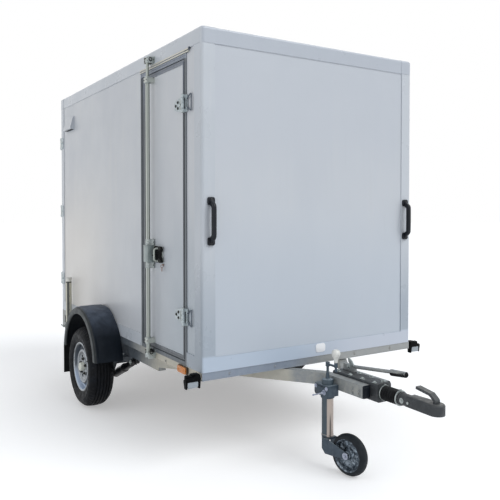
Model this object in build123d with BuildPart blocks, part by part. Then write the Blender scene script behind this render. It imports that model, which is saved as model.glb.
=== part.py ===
"""Single-axle enclosed cargo trailer: a panelled box body on a galvanised steel frame.

The part's frame is +X forward along the drawbar, +Y to the trailer's left and +Z up, with
the origin on the ground under the middle of the whole trailer. All sizes are millimetres.
Pieces on the right side are modelled, and pieces on the left are their mirror images.
"""

from build123d import *
from math import cos, radians, sin, sqrt
import os

# ------------------------------------------------------------------ driving dimensions
# Box body, outside
BOX_LENGTH = 2720
BOX_WIDTH = 1600
BOX_HEIGHT = 1900
BOX_BOTTOM = 565  # lower edge of the body above the ground
PANEL = 30  # sandwich panel thickness
PANEL_INSET = 5  # panel faces sit this far inside the edge profiles
ROOF_RAIL = 90  # height of the profile round the roof
BASE_RAIL = 80  # height of the profile round the floor
POST_SIDE = 85  # width of a corner post on the side faces
POST_FRONT = 85  # width of a front corner post on the front face
POST_REAR = 40  # width of a rear corner post on the rear face
EDGE_ROUND = 18  # rounding of the profiles' outer edges
CAP_SIZE = 92  # moulded caps on the roof's corners
CAP_PROUD = 2
CAP_ROUND = 24
TOP_ROUND = 14  # rounding of the roof profile's upper edge
FLOOR_THICK = 18

# Doors
DOOR_GAP = 8  # all round each leaf, filled by its seal
JAMB_LOCK = 27  # fixed frame bar on the lock side
JAMB_HINGE = 18  # fixed frame bar on the hinge side
FRAME_HEAD = 48  # fixed frame bar over the side door
FRAME_FOOT = 24  # fixed frame bar under the side door
TRIM_LOCK = 30  # edge profile of a leaf, by side
TRIM_HINGE = 15
TRIM_HEAD = 22
TRIM_FOOT = 22
SIDE_DOOR_AHEAD = 187  # front wall to the side door frame
SIDE_DOOR_WIDTH = 663  # over the fixed frame
REAR_FRAME = 18  # fixed frame bars round the rear doors
REAR_SILL = 40
LEAF_MEETING_GAP = 8

# Door hardware: hinges, lock rods and their keepers
HARDWARE_DEPTH = 50  # what stands proud of a door leaf
PIN_PROUD = 16  # hinge pin ahead of the leaf's face
PIN_RADIUS = 5
PIN_FIT = 0.05
BARREL_RADIUS = 9
BARREL_HALF = 30  # half the height of a leaf's barrel
HINGE_HALF = 50  # half the height of a hinge
HINGE_PLATE = 5
HINGE_REACH = 114  # leaf's edge to the far end of its hinge plate
HINGE_MARGIN = 1  # hinge plate inside the leaf's edge
STRAP_THICK = 7
STRAP_LAP = 14  # a knuckle's strap over its plate
KNUCKLE_GAP = 0.5
BRACKET_REACH = 84  # pin to the far end of the looped plate on the post
LOOP_ROOT = 24  # solid part of the looped plate beside the pin
LOOP_RIM = 14
LOOP_HALF = 30
REAR_PLATE_BACK = 15  # plate on the body's side, ahead of the rear face
REAR_PLATE_LENGTH = 60
REAR_PLATE = 4
HINGE_LOW = 285  # lowest hinge above the body's lower edge
HINGE_DROP = 397  # highest hinge below the body's top
REAR_PIN_INSET = 8  # rear hinge pin inside the body's side face
ROD_PROUD = 33
ROD_RADIUS = 13
ROD_END_RADIUS = 9
ROD_FROM_LOCK_EDGE = 155  # rod to the leaf's free edge, side door
REAR_ROD_FROM_EDGE = 150
ROD_BELOW = 34  # lower rod ends below the body
ROD_HEAD = 52  # upper rod ends below the body's top
GUIDE_HALF = 24
GUIDE_HEIGHT = 30
GUIDE_CLEAR = 4  # guide to the leaf's edge profile
GUIDE_COVER = 2  # guide outside the rod
LOCK_LOW = 570  # lock above the body's lower edge
LOCK_HEIGHT = 105
LOCK_HALF = 34
LOCK_ROUND = 6
HANDLE_OFFSET = 115  # bow handle beside the rod
HANDLE_RADIUS = 8
HANDLE_STUD = 6
HANDLE_BACK = 6  # thickness of the plate behind the handle
HANDLE_MARGIN = 30  # that plate beyond the handle
HANDLE_INSET = 4  # that plate shorter than the lock, each end
STUD_INSET = 14
KEEPER_HALF = 20
KEEPER_DROP = 62  # upper keepers' middles below the body's top
KEEPER_GAP = 7
KEEPER_JAW = 8
KEEPER_BACK = 6

# Frame under the body
SILL_HEIGHT = 45
SILL_WIDTH = 40
SILL_INSET = 3
CROSS_WIDTH = 40
CROSS_COUNT = 6
BEAM_HEIGHT = 100
BEAM_WIDTH = 50
BEAM_INSET = 55  # body's side to a main beam's outer face
BEAM_AHEAD = 700  # front wall to the main beams' front ends
BEAM_REAR = 70  # rear wall to their rear ends
ARM_HEIGHT = 70
ARM_DROP = 50  # body's lower edge to the top of the drawbar arms
ARM_WIDTH = 50
ARM_INNER_GAP = 100  # between the arms where they run side by side
ARM_BEND_REACH = 180  # front wall to the arms' bends
ARM_TIP_REACH = 520
ARM_OVERLAP = 70  # drawbar arm along its main beam

# Coupling
COUPLING_REACH = 980  # front wall to the coupling's nose
HOUSING_BACK = 210
HOUSING_FRONT = 580
HOUSING_HEIGHT = 100
HOUSING_ROUND = 12
COLLAR_RADIUS = 46
COLLAR_LENGTH = 30
SHAFT_RADIUS = 25
GAITER_RADIUS = 40
GAITER_FOLDS = 7
GAITER_CREASE = 8
HEAD_BACK = 705
HEAD_TUBE = 110  # sleeve of the coupling head round the shaft
HEAD_TUBE_RADIUS = 32
SOCKET_RADIUS = 25.1
SOCKET_DEPTH = 22
CUP_RADIUS = 42
HEAD_WIDTH = 66
HEAD_OVERLAP = 50  # head body over its sleeve
HEAD_HEIGHT = 34  # above the ball's middle
GRIP_WIDTH = 34  # coupling's release handle
GRIP_THICK = 14
GRIP_RISE = 52
GRIP_LENGTH = 120
GRIP_ROOT = 30
LEVER_BACK = 60  # housing's rear end to the handbrake lever's pivot
LEVER_SIDE = 30  # to the left of the middle
LEVER_BRACKET = 90
LEVER_BRACKET_WIDTH = 24
LEVER_BRACKET_HEIGHT = 36
LEVER_PIVOT_RISE = 24
LEVER_LENGTH = 330
LEVER_RISE = 38  # over its length
LEVER_RADIUS = 10
LEVER_GRIP_LENGTH = 110
LEVER_GRIP_RISE = 8
LEVER_GRIP_RADIUS = 15

# Wheels and running gear
AXLE_SETBACK = 230  # middle of the body to the wheel centres
TYRE_RADIUS = 294.5
TYRE_WIDTH = 185
TYRE_TREAD = 144
TYRE_SHOULDER = 14  # shoulder's edge below the tread's crown
TYRE_SHOULDER_OUT = 8  # shoulder's edge beyond the tread
TYRE_CROWN = 4  # fall of the tread from its middle
TYRE_EDGE_IN = 4
TYRE_BULGE = 4  # widest point above the middle of the sidewall
WHEEL_GAP = 12  # body side to the tyre
RIM_RADIUS = 182
RIM_SEAT = 165
RIM_INNER = 157
RIM_HALF = 74
RIM_FLANGE = 8
RIM_LIP = 10
DISC_OUTSET = 52  # hub face outboard of the wheel's middle
DISC_THICK = 6
DISC_BORE = 32
DISC_FLAT = 86  # radius of the flat that the bolts hold
DISC_RIDGE = 100  # radius where the ridge begins
DISC_RIDGE_END = 128
DISC_RIDGE_RISE = 8
DISC_DROP = 18  # disc's outer edge inboard of its face
DRUM_RADIUS = 112
DRUM_WIDTH = 62
DRUM_INSET = 24  # drum inboard of the hub face
HUB_RADIUS = 70
HUB_CAP_RADIUS = 30
HUB_CAP_LENGTH = 32
HUB_CAP_EDGE = 6
HUB_CAP_ROOM = 4
SPINDLE_RADIUS = 17
SPINDLE_FIT = 0.05
AXLE_TUBE = 45  # half the width of the axle tube
AXLE_LEAD = 165  # axle tube ahead of the wheel centres
AXLE_PAD = 180  # plate between the axle tube and a main beam
AXLE_PAD_THICK = 8
ARM_THICK = 28
ARM_OUTSET = 5  # trailing arm outside the body's side
ARM_BOSS = 54  # trailing arm round the axle tube
SPINDLE_BOSS = 44  # trailing arm round the spindle
SPINDLE_CLEAR = 12  # spindle's end inside the hub
BACKPLATE = 6
BACKPLATE_GAP = 2
SHOULDER_RADIUS = 40
SHOCK_RADIUS = 30
SHOCK_SLEEVE = 14
SHOCK_EYE = 18
SHOCK_GAP = 1
SHOCK_LOW_AHEAD = 96  # wheel centre to the lower eye
SHOCK_LOW_DROP = 60
SHOCK_TOP_AHEAD = 470  # wheel centre to the upper eye
SHOCK_TOP_DROP = 22  # below the main beam
SHOCK_BRACKET = 60
SHOCK_BRACKET_THICK = 8

# Mudguards
FENDER_RADIUS = 393
FENDER_AHEAD = 19  # mudguards' middles ahead of the wheel centres
FENDER_RISE = 64  # and above them
FENDER_SKIRT = 55
FENDER_WIDTH = 205
FENDER_SKIN = 4
FENDER_ROUND = 24
FENDER_END = 106  # lower ends above the wheel centres
FLAP_WIDTH = 190
FLAP_HEIGHT = 238
FLAP_THICK = 6
FLAP_GRIP = 12  # behind the mudguard's rear end
FLAP_INSET = 10

# Jockey wheel
JOCKEY_REACH = 269  # front wall to the stand's tube
JOCKEY_SIDE = 136  # to the right of the middle
JOCKEY_TUBE = 33
JOCKEY_INNER = 27
JOCKEY_TRAIL = 160
JOCKEY_YAW = 10  # the fork points this far to the left, degrees
JOCKEY_RADIUS = 115
JOCKEY_WIDTH = 60
JOCKEY_RIM = 88
JOCKEY_TUBE_DROP = 65  # outer tube's top below the body's lower edge
JOCKEY_TUBE_FOOT = 180  # lower end of the outer tube above the ground
JOCKEY_TUBE_CAP = 60  # solid top of the outer tube
JOCKEY_BELLY = 8  # how far the tyre's tread stands out round its middle
JOCKEY_BOSS = 24
JOCKEY_BOSS_INSET = 2
JOCKEY_WEB = 34  # inner radius of the rim's web
JOCKEY_FLANGE = 14  # rim outside its web
JOCKEY_WEB_INSET = 14
SCREW_RADIUS = 7  # the lifting screw, above the tube
CRANK_LEVEL = 88  # arm above the tube's top
CRANK_BOSS = 12  # radius and half height of the crank's boss on the screw
CRANK_REACH = 72
CRANK_RADIUS = 6
CRANK_PIN_BELOW = 30
CRANK_STEM_RADIUS = 9
KNOB_RADIUS = 24
KNOB_RISE = 72  # knob's middle above the arm
INNER_TUBE_DROP = 90  # inner tube's top below the outer tube's top
YOKE_CLEAR = 5
YOKE_THICK = 8
YOKE_LAP = 4  # inner tube into the yoke
FORK_BACK = 8  # fork behind the tube's axis
FORK_HALF = 32  # fork ahead of the tube's axis, at the yoke
FORK_TOE = 20  # fork beyond the wheel's axle
FORK_HEEL = 26  # fork's lower edge below the wheel's axle
FORK_PLATE = 5
FORK_GAP = 5
FORK_NUT = 6
JOCKEY_AXLE = 8
JOCKEY_FIT = 0.05
CLAMP_TOP = 90  # below the body's lower edge
CLAMP_HEIGHT = 62
CLAMP_WALL = 7
CLAMP_BEHIND = 70  # clamp along its arm, behind the tube's axis and ahead of it
CLAMP_AHEAD = 52
CLAMP_ROUND = 12
CLAMP_GAP = 0.3

# Rear prop legs
LEG_AHEAD = 330  # rear wall to the legs
LEG_OUT = 35  # outside the body's side
LEG_RADIUS = 24
LEG_FOOT_HEIGHT = 375
LEG_TOP = 320  # above the body's lower edge
LEG_CAP = 10
LEG_CAP_PROUD = 2
LEG_FOOT = 33  # radius of the foot plate
LEG_FOOT_THICK = 8
LEG_CLAMP_WALL = 9
LEG_CLAMP_TOP = 65  # below the body's lower edge
LEG_CLAMP_HEIGHT = 60
LEG_CLAMP_LENGTH = 44

# Lamps, plate, vents and grab handles
LAMP_WIDTH = 74
LAMP_HEIGHT = 54
LAMP_OUT = 21
LAMP_DROP = 25
LAMP_DEPTH = 40
LAMP_ROUND = 12
LAMP_ARM_INSET = 4  # rubber arm inside the lamp, front and back
LAMP_ARM_MARGIN = 12
LAMP_ARM_CLEAR = 2  # below the body
MARKER_LENGTH = 99
MARKER_HEIGHT = 43
MARKER_DEPTH = 16
MARKER_DROP = 8
MARKER_AHEAD = 191
REAR_LAMP_WIDTH = 240
REAR_LAMP_HEIGHT = 100
REAR_LAMP_DEPTH = 45
REAR_LAMP_INSET = 30
REAR_LAMP_ROUND = 10
REAR_LAMP_DROP = 10  # below the frame
REAR_BAR_MARGIN = 4  # rear bar below the lamps
PLATE_WIDTH = 520
PLATE_HEIGHT = 112
PLATE_THICK = 4
VENT_LENGTH = 200
VENT_HEIGHT = 105
VENT_DEPTH = 30
VENT_AHEAD = 190  # rear wall to the cowls
VENT_DROP = 200  # body's top to the cowls' tops
VENT_LIP = 20
VENT_TOP_DEPTH = 12
GRAB_LOW = 702
GRAB_LENGTH = 266
GRAB_INSET = 56
GRAB_DEPTH = 50
GRAB_FOOT_WIDTH = 42
GRAB_FOOT_LENGTH = 44
GRAB_FOOT_THICK = 12
GRAB_BAR = 20
GRAB_BAR_WIDTH = 26
GRAB_ROUND = 8
GRAB_RAMP = 58  # foot's end to the straight part of the grip
GRAB_BEND = 26

# ------------------------------------------------------------------ places worked out
FRONT_X = (BOX_LENGTH + HARDWARE_DEPTH - COUPLING_REACH) / 2
REAR_X = FRONT_X - BOX_LENGTH
MID_X = (FRONT_X + REAR_X) / 2
SIDE_Y = BOX_WIDTH / 2
BOX_TOP = BOX_BOTTOM + BOX_HEIGHT
WALL = PANEL + PANEL_INSET
POST_TOP = BOX_TOP - ROOF_RAIL
FRAME_BOTTOM = BOX_BOTTOM - SILL_HEIGHT
BEAM_BOTTOM = FRAME_BOTTOM - BEAM_HEIGHT
BEAM_OUTER_Y = SIDE_Y - BEAM_INSET

DOOR_FRONT = FRONT_X - SIDE_DOOR_AHEAD
DOOR_REAR = DOOR_FRONT - SIDE_DOOR_WIDTH
LEAF_FRONT = DOOR_FRONT - JAMB_HINGE - DOOR_GAP
LEAF_REAR = DOOR_REAR + JAMB_LOCK + DOOR_GAP
LEAF_LOW = BOX_BOTTOM + FRAME_FOOT + DOOR_GAP
LEAF_HIGH = POST_TOP - FRAME_HEAD - DOOR_GAP
SIDE_PIN_X = DOOR_FRONT - JAMB_HINGE / 2
REAR_FRAME_Y = SIDE_Y - POST_REAR
REAR_LEAF_Y = REAR_FRAME_Y - REAR_FRAME - DOOR_GAP
REAR_LEAF_LOW = BOX_BOTTOM + REAR_SILL + DOOR_GAP
REAR_LEAF_HIGH = POST_TOP - REAR_FRAME - DOOR_GAP
REAR_PIN_Y = SIDE_Y - REAR_PIN_INSET
HINGE_HIGH = BOX_HEIGHT - HINGE_DROP
LOCK_HIGH = LOCK_LOW + LOCK_HEIGHT

WHEEL_X = MID_X - AXLE_SETBACK
WHEEL_Y = SIDE_Y + WHEEL_GAP + TYRE_WIDTH / 2
WHEEL_Z = TYRE_RADIUS
AXLE_X = WHEEL_X + AXLE_LEAD
AXLE_Z = BEAM_BOTTOM - AXLE_TUBE
ARM_Z = BOX_BOTTOM - ARM_DROP - ARM_HEIGHT / 2
JOCKEY_X = FRONT_X + JOCKEY_REACH
JOCKEY_Y = -JOCKEY_SIDE
LEG_X = REAR_X + LEG_AHEAD
LEG_Y = SIDE_Y + LEG_OUT

# Faces that hardware is bolted to: x towards the hinge, y up, z out of the box
SIDE_FACE = Plane(origin=(0, -SIDE_Y, BOX_BOTTOM), x_dir=(1, 0, 0), z_dir=(0, -1, 0))
REAR_FACE = Plane(origin=(REAR_X, 0, BOX_BOTTOM), x_dir=(0, -1, 0), z_dir=(-1, 0, 0))

# ------------------------------------------------------------------ shared shapes


def block(x, y, z, mode=Mode.ADD):
    """Box between three pairs of limits."""
    middle = tuple(sum(limits) / 2 for limits in (x, y, z))
    size = [abs(limits[1] - limits[0]) for limits in (x, y, z)]
    with Locations(middle):
        Box(*size, mode=mode)


def bar(start, end, radius, mode=Mode.ADD):
    """Round bar between two points."""
    run = Vector(*end) - Vector(*start)
    with Locations(Plane(origin=start, z_dir=run)):
        Cylinder(radius, run.length, align=(Align.CENTER, Align.CENTER, Align.MIN), mode=mode)


def write(piece, name):
    """Label a finished piece and write its file."""
    piece.part.label = name
    export_step(piece.part, f"parts/{name}.step")


def mirrored(piece):
    """The left-hand copy of a right-hand piece."""
    with BuildPart() as copy:
        mirror(piece.part, about=Plane.XZ)
    return copy


def ring(outer_x, outer_z, edges, depth):
    """Upright door frame in a face's own x and y: edges are its four bar widths."""
    left, right, low, high = edges
    block(outer_x, outer_z, depth)
    inner_x = (outer_x[0] + left, outer_x[1] - right)
    inner_z = (outer_z[0] + low, outer_z[1] - high)
    block(inner_x, inner_z, depth, mode=Mode.SUBTRACT)


os.makedirs("parts", exist_ok=True)

# ------------------------------------------------------------------ box body
with BuildPart() as corner_posts:
    for x, inward, leg in ((FRONT_X, -1, POST_FRONT), (REAR_X, 1, POST_REAR)):
        for side in (-1, 1):
            y = side * SIDE_Y
            with BuildSketch(Plane.XY.offset(BOX_BOTTOM)):
                with BuildLine():
                    Polyline(
                        (x, y),
                        (x + inward * POST_SIDE, y),
                        (x + inward * POST_SIDE, y - side * WALL),
                        (x + inward * WALL, y - side * WALL),
                        (x + inward * WALL, y - side * leg),
                        (x, y - side * leg),
                        close=True,
                    )
                make_face()
            extrude(amount=POST_TOP - BOX_BOTTOM)
    outside = corner_posts.edges().filter_by(Axis.Z).group_by(
        lambda edge: round(abs(edge.center().X - MID_X) + abs(edge.center().Y))
    )[-1]
    fillet(outside, EDGE_ROUND)
write(corner_posts, "corner_posts")

with BuildPart() as base_rails:
    rail = (BOX_BOTTOM, BOX_BOTTOM + BASE_RAIL)
    inner = SIDE_Y - WALL
    front_end = FRONT_X - POST_SIDE
    block((FRONT_X - WALL, FRONT_X), (-SIDE_Y + POST_FRONT, SIDE_Y - POST_FRONT), rail)
    block((REAR_X + POST_SIDE, front_end), (inner, SIDE_Y), rail)
    block((REAR_X + POST_SIDE, DOOR_REAR), (-SIDE_Y, -inner), rail)
    block((DOOR_FRONT, front_end), (-SIDE_Y, -inner), rail)
write(base_rails, "base_rails")

with BuildPart() as roof_cap:
    block(
        (FRONT_X - CAP_SIZE, FRONT_X + CAP_PROUD),
        (-SIDE_Y - CAP_PROUD, -SIDE_Y + CAP_SIZE),
        (POST_TOP, BOX_TOP + CAP_PROUD),
    )
    outer = roof_cap.edges().filter_by(Axis.Z).sort_by(lambda e: e.center().X - e.center().Y)[-1]
    fillet(outer, CAP_ROUND)
    rim = roof_cap.faces().sort_by(Axis.Z)[-1].edges().filter_by(
        lambda e: e.center().X > FRONT_X - CAP_SIZE + 1 and e.center().Y < -SIDE_Y + CAP_SIZE - 1
    )
    fillet(rim, EDGE_ROUND)

with BuildPart() as roof_rails:
    block((REAR_X, FRONT_X), (-SIDE_Y, SIDE_Y), (POST_TOP, BOX_TOP))
    fillet(roof_rails.edges().filter_by(Axis.Z), EDGE_ROUND)
    fillet(roof_rails.faces().sort_by(Axis.Z)[-1].edges(), TOP_ROUND)
    add(roof_cap.part)
    mirror(roof_cap.part, about=Plane.XZ)
    mirror(about=Plane.YZ.offset(MID_X))
    block(
        (REAR_X + WALL, FRONT_X - WALL),
        (-SIDE_Y + WALL, SIDE_Y - WALL),
        (POST_TOP, BOX_TOP + CAP_PROUD),
        mode=Mode.SUBTRACT,
    )
write(roof_rails, "roof_rails")

with BuildPart() as roof:
    block(
        (REAR_X + WALL, FRONT_X - WALL),
        (-SIDE_Y + WALL, SIDE_Y - WALL),
        (BOX_TOP - PANEL_INSET - PANEL, BOX_TOP - PANEL_INSET),
    )
write(roof, "roof")

PANEL_Z = (BOX_BOTTOM + BASE_RAIL, POST_TOP)
PANEL_Y = (SIDE_Y - WALL, SIDE_Y - PANEL_INSET)
with BuildPart() as wall_front:
    block(
        (FRONT_X - WALL, FRONT_X - PANEL_INSET),
        (-SIDE_Y + POST_FRONT, SIDE_Y - POST_FRONT),
        PANEL_Z,
    )
write(wall_front, "wall_front")

with BuildPart() as wall_left:
    block((REAR_X + POST_SIDE, FRONT_X - POST_SIDE), PANEL_Y, PANEL_Z)
write(wall_left, "wall_left")

with BuildPart() as wall_right:
    right = (-PANEL_Y[1], -PANEL_Y[0])
    block((REAR_X + POST_SIDE, DOOR_REAR), right, PANEL_Z)
    block((DOOR_FRONT, FRONT_X - POST_SIDE), right, PANEL_Z)
write(wall_right, "wall_right")

with BuildPart() as floor:
    block(
        (REAR_X + WALL, FRONT_X - WALL),
        (-SIDE_Y + WALL, SIDE_Y - WALL),
        (BOX_BOTTOM, BOX_BOTTOM + FLOOR_THICK),
    )
write(floor, "floor")

# ------------------------------------------------------------------ door frames and leaves
DEPTH = (-WALL, 0)
SIDE_LEAF_X = (LEAF_REAR, LEAF_FRONT)
SIDE_LEAF_Z = (LEAF_LOW - BOX_BOTTOM, LEAF_HIGH - BOX_BOTTOM)
REAR_LEAF_X = (LEAF_MEETING_GAP / 2, REAR_LEAF_Y)
REAR_LEAF_Z = (REAR_LEAF_LOW - BOX_BOTTOM, REAR_LEAF_HIGH - BOX_BOTTOM)
FRAME_Z = (0, POST_TOP - BOX_BOTTOM)

with BuildPart() as side_door_frame:
    with Locations(SIDE_FACE):
        ring(
            (DOOR_REAR, DOOR_FRONT),
            FRAME_Z,
            (JAMB_LOCK, JAMB_HINGE, FRAME_FOOT, FRAME_HEAD),
            DEPTH,
        )
write(side_door_frame, "side_door_frame")

with BuildPart() as rear_door_frame:
    with Locations(REAR_FACE):
        ring(
            (-REAR_FRAME_Y, REAR_FRAME_Y),
            FRAME_Z,
            (REAR_FRAME, REAR_FRAME, REAR_SILL, REAR_FRAME),
            DEPTH,
        )
write(rear_door_frame, "rear_door_frame")


def leaf_panel(x, z):
    """Sandwich panel of a leaf, inside its edge profile."""
    block(
        (x[0] + TRIM_LOCK, x[1] - TRIM_HINGE),
        (z[0] + TRIM_FOOT, z[1] - TRIM_HEAD),
        (-WALL, -PANEL_INSET),
    )


def leaf_trim(x, z):
    """Aluminium edge profile round a leaf."""
    ring(x, z, (TRIM_LOCK, TRIM_HINGE, TRIM_FOOT, TRIM_HEAD), DEPTH)


with BuildPart() as side_door:
    with Locations(SIDE_FACE):
        leaf_panel(SIDE_LEAF_X, SIDE_LEAF_Z)
write(side_door, "side_door")

with BuildPart() as side_door_trim:
    with Locations(SIDE_FACE):
        leaf_trim(SIDE_LEAF_X, SIDE_LEAF_Z)
write(side_door_trim, "side_door_trim")

with BuildPart() as rear_door_right:
    with Locations(REAR_FACE):
        leaf_panel(REAR_LEAF_X, REAR_LEAF_Z)
write(rear_door_right, "rear_door_right")
write(mirrored(rear_door_right), "rear_door_left")

with BuildPart() as rear_trim_right:
    with Locations(REAR_FACE):
        leaf_trim(REAR_LEAF_X, REAR_LEAF_Z)
write(rear_trim_right, "rear_trim_right")
write(mirrored(rear_trim_right), "rear_trim_left")

# ------------------------------------------------------------------ hinges and locks


def knuckle(pin_x, low, high, back):
    """Barrel round the pin, with the strap that joins it to its plate at x = back."""
    bar((pin_x, low, PIN_PROUD), (pin_x, high, PIN_PROUD), BARREL_RADIUS)
    block((back, pin_x), (low, high), (HINGE_PLATE, HINGE_PLATE + STRAP_THICK))


def hinge_leaf(face, pin_x, height, leaf_edge):
    """Tapered plate on the door, with a strap and a barrel round the pin."""
    root = leaf_edge - HINGE_MARGIN
    tip = leaf_edge - HINGE_REACH
    with Locations(face):
        knuckle(pin_x, height - BARREL_HALF, height + BARREL_HALF, root - STRAP_LAP)
    with BuildSketch(face) as plate:
        with BuildLine():
            Polyline(
                (root, height - HINGE_HALF),
                (root, height + HINGE_HALF),
                (tip, height + HINGE_HALF / 2),
                (tip, height - HINGE_HALF / 2),
                close=True,
            )
        make_face()
    extrude(plate.sketch, amount=HINGE_PLATE)


def pin_bore(pin_x, height):
    """Bore through a leaf's barrel."""
    reach = BARREL_HALF + 1
    low = (pin_x, height - reach, PIN_PROUD)
    bar(low, (pin_x, height + reach, PIN_PROUD), PIN_RADIUS + PIN_FIT, mode=Mode.SUBTRACT)


def hinge_pin(pin_x, height):
    """Pin through a leaf's barrel, from knuckle to knuckle."""
    low = (pin_x, height - HINGE_HALF, PIN_PROUD)
    bar(low, (pin_x, height + HINGE_HALF, PIN_PROUD), PIN_RADIUS)


def side_bracket(pin_x, height):
    """Looped plate on the corner post, with knuckles above and below the leaf's barrel."""
    root = pin_x + JAMB_HINGE / 2
    rim = pin_x + BRACKET_REACH
    inner = BARREL_HALF + KNUCKLE_GAP
    block((root, rim), (height - HINGE_HALF, height + HINGE_HALF), (0, HINGE_PLATE))
    loop = (root + LOOP_ROOT, rim - LOOP_RIM)
    block(loop, (height - LOOP_HALF, height + LOOP_HALF), (0, HINGE_PLATE), mode=Mode.SUBTRACT)
    for low in (height - HINGE_HALF, height + inner):
        knuckle(pin_x, low, low + HINGE_HALF - inner, root + STRAP_LAP)
    hinge_pin(pin_x, height)


def rear_bracket(height):
    """Plate on the body's side, wrapped round the rear corner to the pin."""
    inner = BARREL_HALF + KNUCKLE_GAP
    side = (SIDE_Y, SIDE_Y + REAR_PLATE)
    end = -REAR_PLATE_BACK
    block(side, (height - HINGE_HALF, height + HINGE_HALF), (end - REAR_PLATE_LENGTH, end))
    for low in (height - HINGE_HALF, height + inner):
        high = low + HINGE_HALF - inner
        block(side, (low, high), (end, PIN_PROUD))
        block((REAR_PIN_Y, SIDE_Y), (low, high), (HINGE_PLATE, HINGE_PLATE + STRAP_THICK))
        bar((REAR_PIN_Y, low, PIN_PROUD), (REAR_PIN_Y, high, PIN_PROUD), BARREL_RADIUS)
    hinge_pin(REAR_PIN_Y, height)


def bow(face, x, low, high):
    """Round bar bent back to the door at both ends."""
    side = Plane(face.from_local_coords((x, 0, 0)), x_dir=face.z_dir, z_dir=-face.x_dir)
    reach = HARDWARE_DEPTH - HANDLE_RADIUS
    with BuildLine(side) as path:
        FilletPolyline((0, low), (reach, low), (reach, high), (0, high), radius=2 * HANDLE_RADIUS)
    with BuildSketch(path.line ^ 0) as section:
        Circle(HANDLE_STUD)
    sweep(section.sketch, path=path.line)


def lock_bar(face, rod_x, leaf_z):
    """Lock rod with its guides, lock and bow handle, on a leaf."""
    low_guide = leaf_z[0] + TRIM_FOOT + GUIDE_CLEAR + GUIDE_HEIGHT / 2
    high_guide = leaf_z[1] - TRIM_HEAD - GUIDE_CLEAR - GUIDE_HEIGHT / 2
    handle = rod_x + HANDLE_OFFSET
    with Locations(face):
        bar((rod_x, -ROD_BELOW, ROD_PROUD), (rod_x, high_guide, ROD_PROUD), ROD_RADIUS)
        top = (rod_x, BOX_HEIGHT - ROD_HEAD, ROD_PROUD)
        bar((rod_x, high_guide, ROD_PROUD), top, ROD_END_RADIUS)
        for height in (low_guide, high_guide):
            wide = (rod_x - GUIDE_HALF, rod_x + GUIDE_HALF)
            tall = (height - GUIDE_HEIGHT / 2, height + GUIDE_HEIGHT / 2)
            block(wide, tall, (-PANEL_INSET, ROD_PROUD + ROD_RADIUS + GUIDE_COVER))
        back = (rod_x + LOCK_HALF, handle + HANDLE_MARGIN)
        tall = (LOCK_LOW + HANDLE_INSET, LOCK_HIGH - HANDLE_INSET)
        block(back, tall, (-PANEL_INSET, HANDLE_BACK))
    with BuildSketch(face.offset(-PANEL_INSET)) as case:
        with Locations((rod_x, (LOCK_LOW + LOCK_HIGH) / 2)):
            RectangleRounded(2 * LOCK_HALF, LOCK_HEIGHT, LOCK_ROUND)
    extrude(case.sketch, amount=PANEL_INSET + HARDWARE_DEPTH)
    bow(face, handle, LOCK_LOW + STUD_INSET, LOCK_HIGH - STUD_INSET)


def keeper(rod_x, height, foot):
    """Jaws on the frame for a rod's end, open outwards so that the door can swing."""
    gap = ROD_RADIUS + KEEPER_GAP
    reach = gap + KEEPER_JAW
    tall = (height - KEEPER_HALF, height + KEEPER_HALF)
    block((rod_x - reach, rod_x + reach), tall, (-foot, KEEPER_BACK))
    for inner in (rod_x - reach, rod_x + gap):
        block((inner, inner + KEEPER_JAW), tall, (-foot, HARDWARE_DEPTH - KEEPER_BACK))


SIDE_HINGE_HEIGHTS = (HINGE_LOW, HINGE_HIGH)
REAR_HINGE_HEIGHTS = (HINGE_LOW, (HINGE_LOW + HINGE_HIGH) / 2, HINGE_HIGH)
SIDE_ROD = LEAF_REAR + ROD_FROM_LOCK_EDGE
REAR_ROD = LEAF_MEETING_GAP / 2 + REAR_ROD_FROM_EDGE
KEEPER_LOW = -KEEPER_HALF
KEEPER_HIGH = BOX_HEIGHT - KEEPER_DROP

with BuildPart() as side_door_hinges:
    for height in SIDE_HINGE_HEIGHTS:
        hinge_leaf(SIDE_FACE, SIDE_PIN_X, height, LEAF_FRONT)
    with Locations(SIDE_FACE):
        for height in SIDE_HINGE_HEIGHTS:
            pin_bore(SIDE_PIN_X, height)
write(side_door_hinges, "side_door_hinges")

with BuildPart() as rear_hinges_right:
    for height in REAR_HINGE_HEIGHTS:
        hinge_leaf(REAR_FACE, REAR_PIN_Y, height, REAR_LEAF_Y)
    with Locations(REAR_FACE):
        for height in REAR_HINGE_HEIGHTS:
            pin_bore(REAR_PIN_Y, height)
write(rear_hinges_right, "rear_hinges_right")
write(mirrored(rear_hinges_right), "rear_hinges_left")

with BuildPart() as hinge_brackets:
    with Locations(REAR_FACE):
        for height in REAR_HINGE_HEIGHTS:
            rear_bracket(height)
    mirror(about=Plane.XZ)
    with Locations(SIDE_FACE):
        for height in SIDE_HINGE_HEIGHTS:
            side_bracket(SIDE_PIN_X, height)
write(hinge_brackets, "hinge_brackets")

with BuildPart() as side_door_lock:
    lock_bar(SIDE_FACE, SIDE_ROD, SIDE_LEAF_Z)
write(side_door_lock, "side_door_lock")

with BuildPart() as rear_lock_right:
    lock_bar(REAR_FACE, REAR_ROD, REAR_LEAF_Z)
write(rear_lock_right, "rear_lock_right")
write(mirrored(rear_lock_right), "rear_lock_left")

with BuildPart() as lock_keepers:
    with Locations(REAR_FACE):
        keeper(REAR_ROD, KEEPER_HIGH, 0)
        keeper(REAR_ROD, KEEPER_LOW, SILL_INSET)
    mirror(about=Plane.XZ)
    with Locations(SIDE_FACE):
        keeper(SIDE_ROD, KEEPER_HIGH, 0)
        keeper(SIDE_ROD, KEEPER_LOW, SILL_INSET)
write(lock_keepers, "lock_keepers")

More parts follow.
